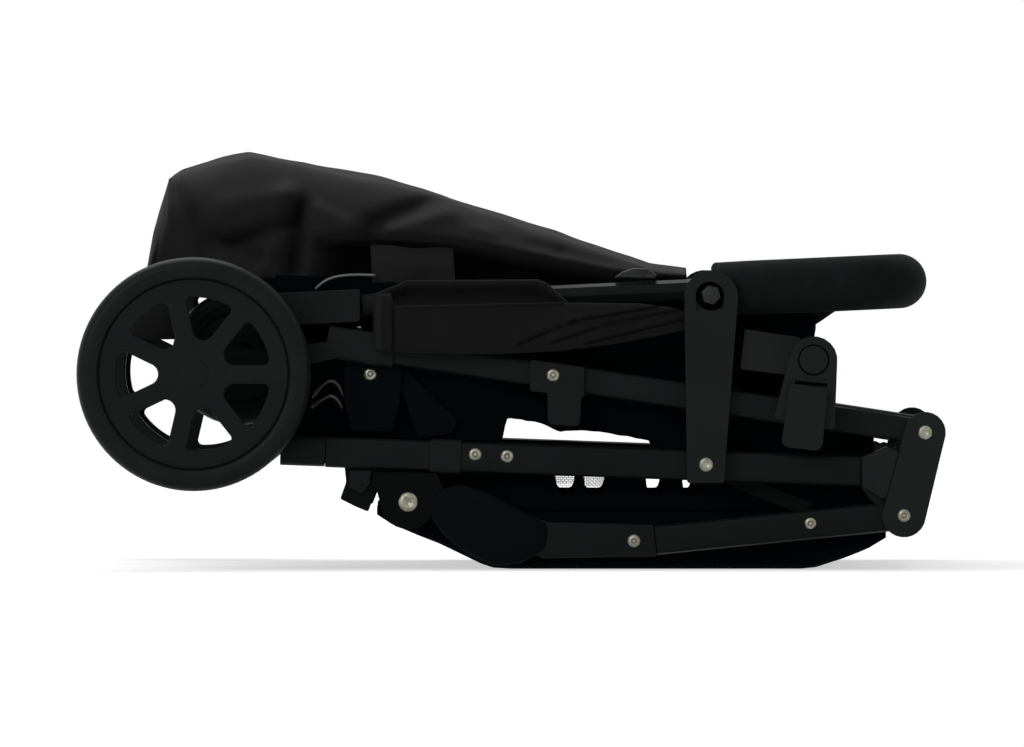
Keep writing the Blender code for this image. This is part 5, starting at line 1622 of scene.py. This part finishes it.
class STROLLER_OT_stage(bpy.types.Operator):
    """Pale floor, white surroundings, soft lamps and the camera at the photograph's angle"""

    bl_idname = "stroller.stage"
    bl_label = "Stage"

    def execute(self, context):
        self.floor()
        self.world(context.scene)
        for name, place, size, power in LAMPS:
            lamp = bpy.data.lights.new(f"{name}_softbox", "AREA")
            lamp.size = size
            lamp.energy = power
            holder = bpy.data.objects.new(f"{name}_softbox", lamp)
            holder.location = place
            holder.rotation_euler = (Vector(LAMP_AIM) - Vector(place)).to_track_quat("-Z", "Y").to_euler()
            context.scene.collection.objects.link(holder)
        self.camera(context.scene)
        context.scene.view_settings.view_transform = "Standard"
        return {"FINISHED"}

    def floor(self):
        """A large pale floor. It keeps the stroller's shadow, and rises by a few centimetres behind it."""
        shape = bmesh.new()
        bmesh.ops.create_grid(shape, x_segments=80, y_segments=160, size=1.0)
        for vertex in shape.verts:
            x, y = [FLOOR_REACH * part * abs(part) for part in vertex.co.xy]
            vertex.co = (x, y, FLOOR_RISE * smooth_step((y - RISE_START) / RISE_LENGTH) - FLOOR_DROP)
        tree, shader = new_material("pale_floor")
        shader.inputs["Base Color"].default_value = (0.80, 0.80, 0.80, 1)
        shader.inputs["Roughness"].default_value = 0.9
        shader.inputs["Specular IOR Level"].default_value = 0.0
        place = tree.nodes.new("ShaderNodeTexCoord")
        reach = tree.nodes.new("ShaderNodeVectorMath")
        reach.operation = "LENGTH"
        tree.links.new(place.outputs["Object"], reach.inputs[0])
        spread = range_node(tree, reach.outputs["Value"], From_Min=0.45, From_Max=2.6, To_Min=0.56,
                            To_Max=0.82)
        spread.interpolation_type = "SMOOTHSTEP"
        glow = tree.nodes.new("ShaderNodeEmission")
        glow.inputs["Color"].default_value = (1, 1, 1, 1)
        shown = math_node(tree, "MULTIPLY", white_rays(tree), spread.outputs["Result"])
        tree.links.new(shown, glow.inputs["Strength"])
        both = tree.nodes.new("ShaderNodeAddShader")
        tree.links.new(shader.outputs["BSDF"], both.inputs[0])
        tree.links.new(glow.outputs["Emission"], both.inputs[1])
        tree.links.new(both.outputs["Shader"], tree.nodes["Material Output"].inputs["Surface"])
        new_piece("pale_floor", shape, None, "pale_floor")

    def world(self, scene):
        """White to the camera and in reflections, and a plain soft light on the object."""
        world = bpy.data.worlds.new("studio")
        world.use_nodes = True
        scene.world = world
        tree = world.node_tree
        light = tree.nodes["Background"]
        light.inputs["Color"].default_value = (1, 1, 1, 1)
        strength = range_node(tree, white_rays(tree), To_Min=0.24, To_Max=1.0)
        tree.links.new(strength.outputs["Result"], light.inputs["Strength"])

    def camera(self, scene):
        """A very long lens from the side, a little above the floor."""
        tilt = math.radians(CAMERA_TILT)
        data = bpy.data.cameras.new("side_camera")
        data.sensor_width = CAMERA_SENSOR
        data.lens = CAMERA_SENSOR * CAMERA_DISTANCE / CAMERA_FIELD
        data.clip_start, data.clip_end = 0.5, 200
        holder = bpy.data.objects.new("side_camera", data)
        holder.location = Vector(CAMERA_AIM) + Vector((0, -math.cos(tilt), math.sin(tilt))) * CAMERA_DISTANCE
        holder.rotation_euler = (math.radians(90) - tilt, 0, 0)
        scene.collection.objects.link(holder)
        scene.camera = holder


OPERATORS = (STROLLER_OT_finishes, STROLLER_OT_tubes, STROLLER_OT_castings, STROLLER_OT_wheels,
             STROLLER_OT_grip, STROLLER_OT_rivets, STROLLER_OT_canopies, STROLLER_OT_rolls,
             STROLLER_OT_slings, STROLLER_OT_basket, STROLLER_OT_flap, STROLLER_OT_webbing,
             STROLLER_OT_plates, STROLLER_OT_seats, STROLLER_OT_netting, STROLLER_OT_foot_pads,
             STROLLER_OT_stage)


class STROLLER_PT_panel(bpy.types.Panel):
    """Lists the stroller's pieces and sizes"""

    bl_idname = "STROLLER_PT_panel"
    bl_label = "Folded stroller"
    bl_space_type = "VIEW_3D"
    bl_region_type = "UI"
    bl_category = "Stroller"

    def draw(self, context):
        for group in (context.scene.stroller_sizes, context.scene.stroller_colours):
            for name in group.__annotations__:
                self.layout.prop(group, name)
        for piece in OPERATORS:
            self.layout.operator(piece.bl_idname)


def register():
    for item in (StrollerSizes, StrollerColours, *OPERATORS, STROLLER_PT_panel):
        bpy.utils.register_class(item)
    bpy.types.Scene.stroller_sizes = bpy.props.PointerProperty(type=StrollerSizes)
    bpy.types.Scene.stroller_colours = bpy.props.PointerProperty(type=StrollerColours)


def unregister():
    del bpy.types.Scene.stroller_colours
    del bpy.types.Scene.stroller_sizes
    for item in (STROLLER_PT_panel, *reversed(OPERATORS), StrollerColours, StrollerSizes):
        bpy.utils.unregister_class(item)


def main():
    register()
    for piece in OPERATORS:
        group, name = piece.bl_idname.split(".")
        getattr(getattr(bpy.ops, group), name)()


if __name__ == "__main__":
    main()
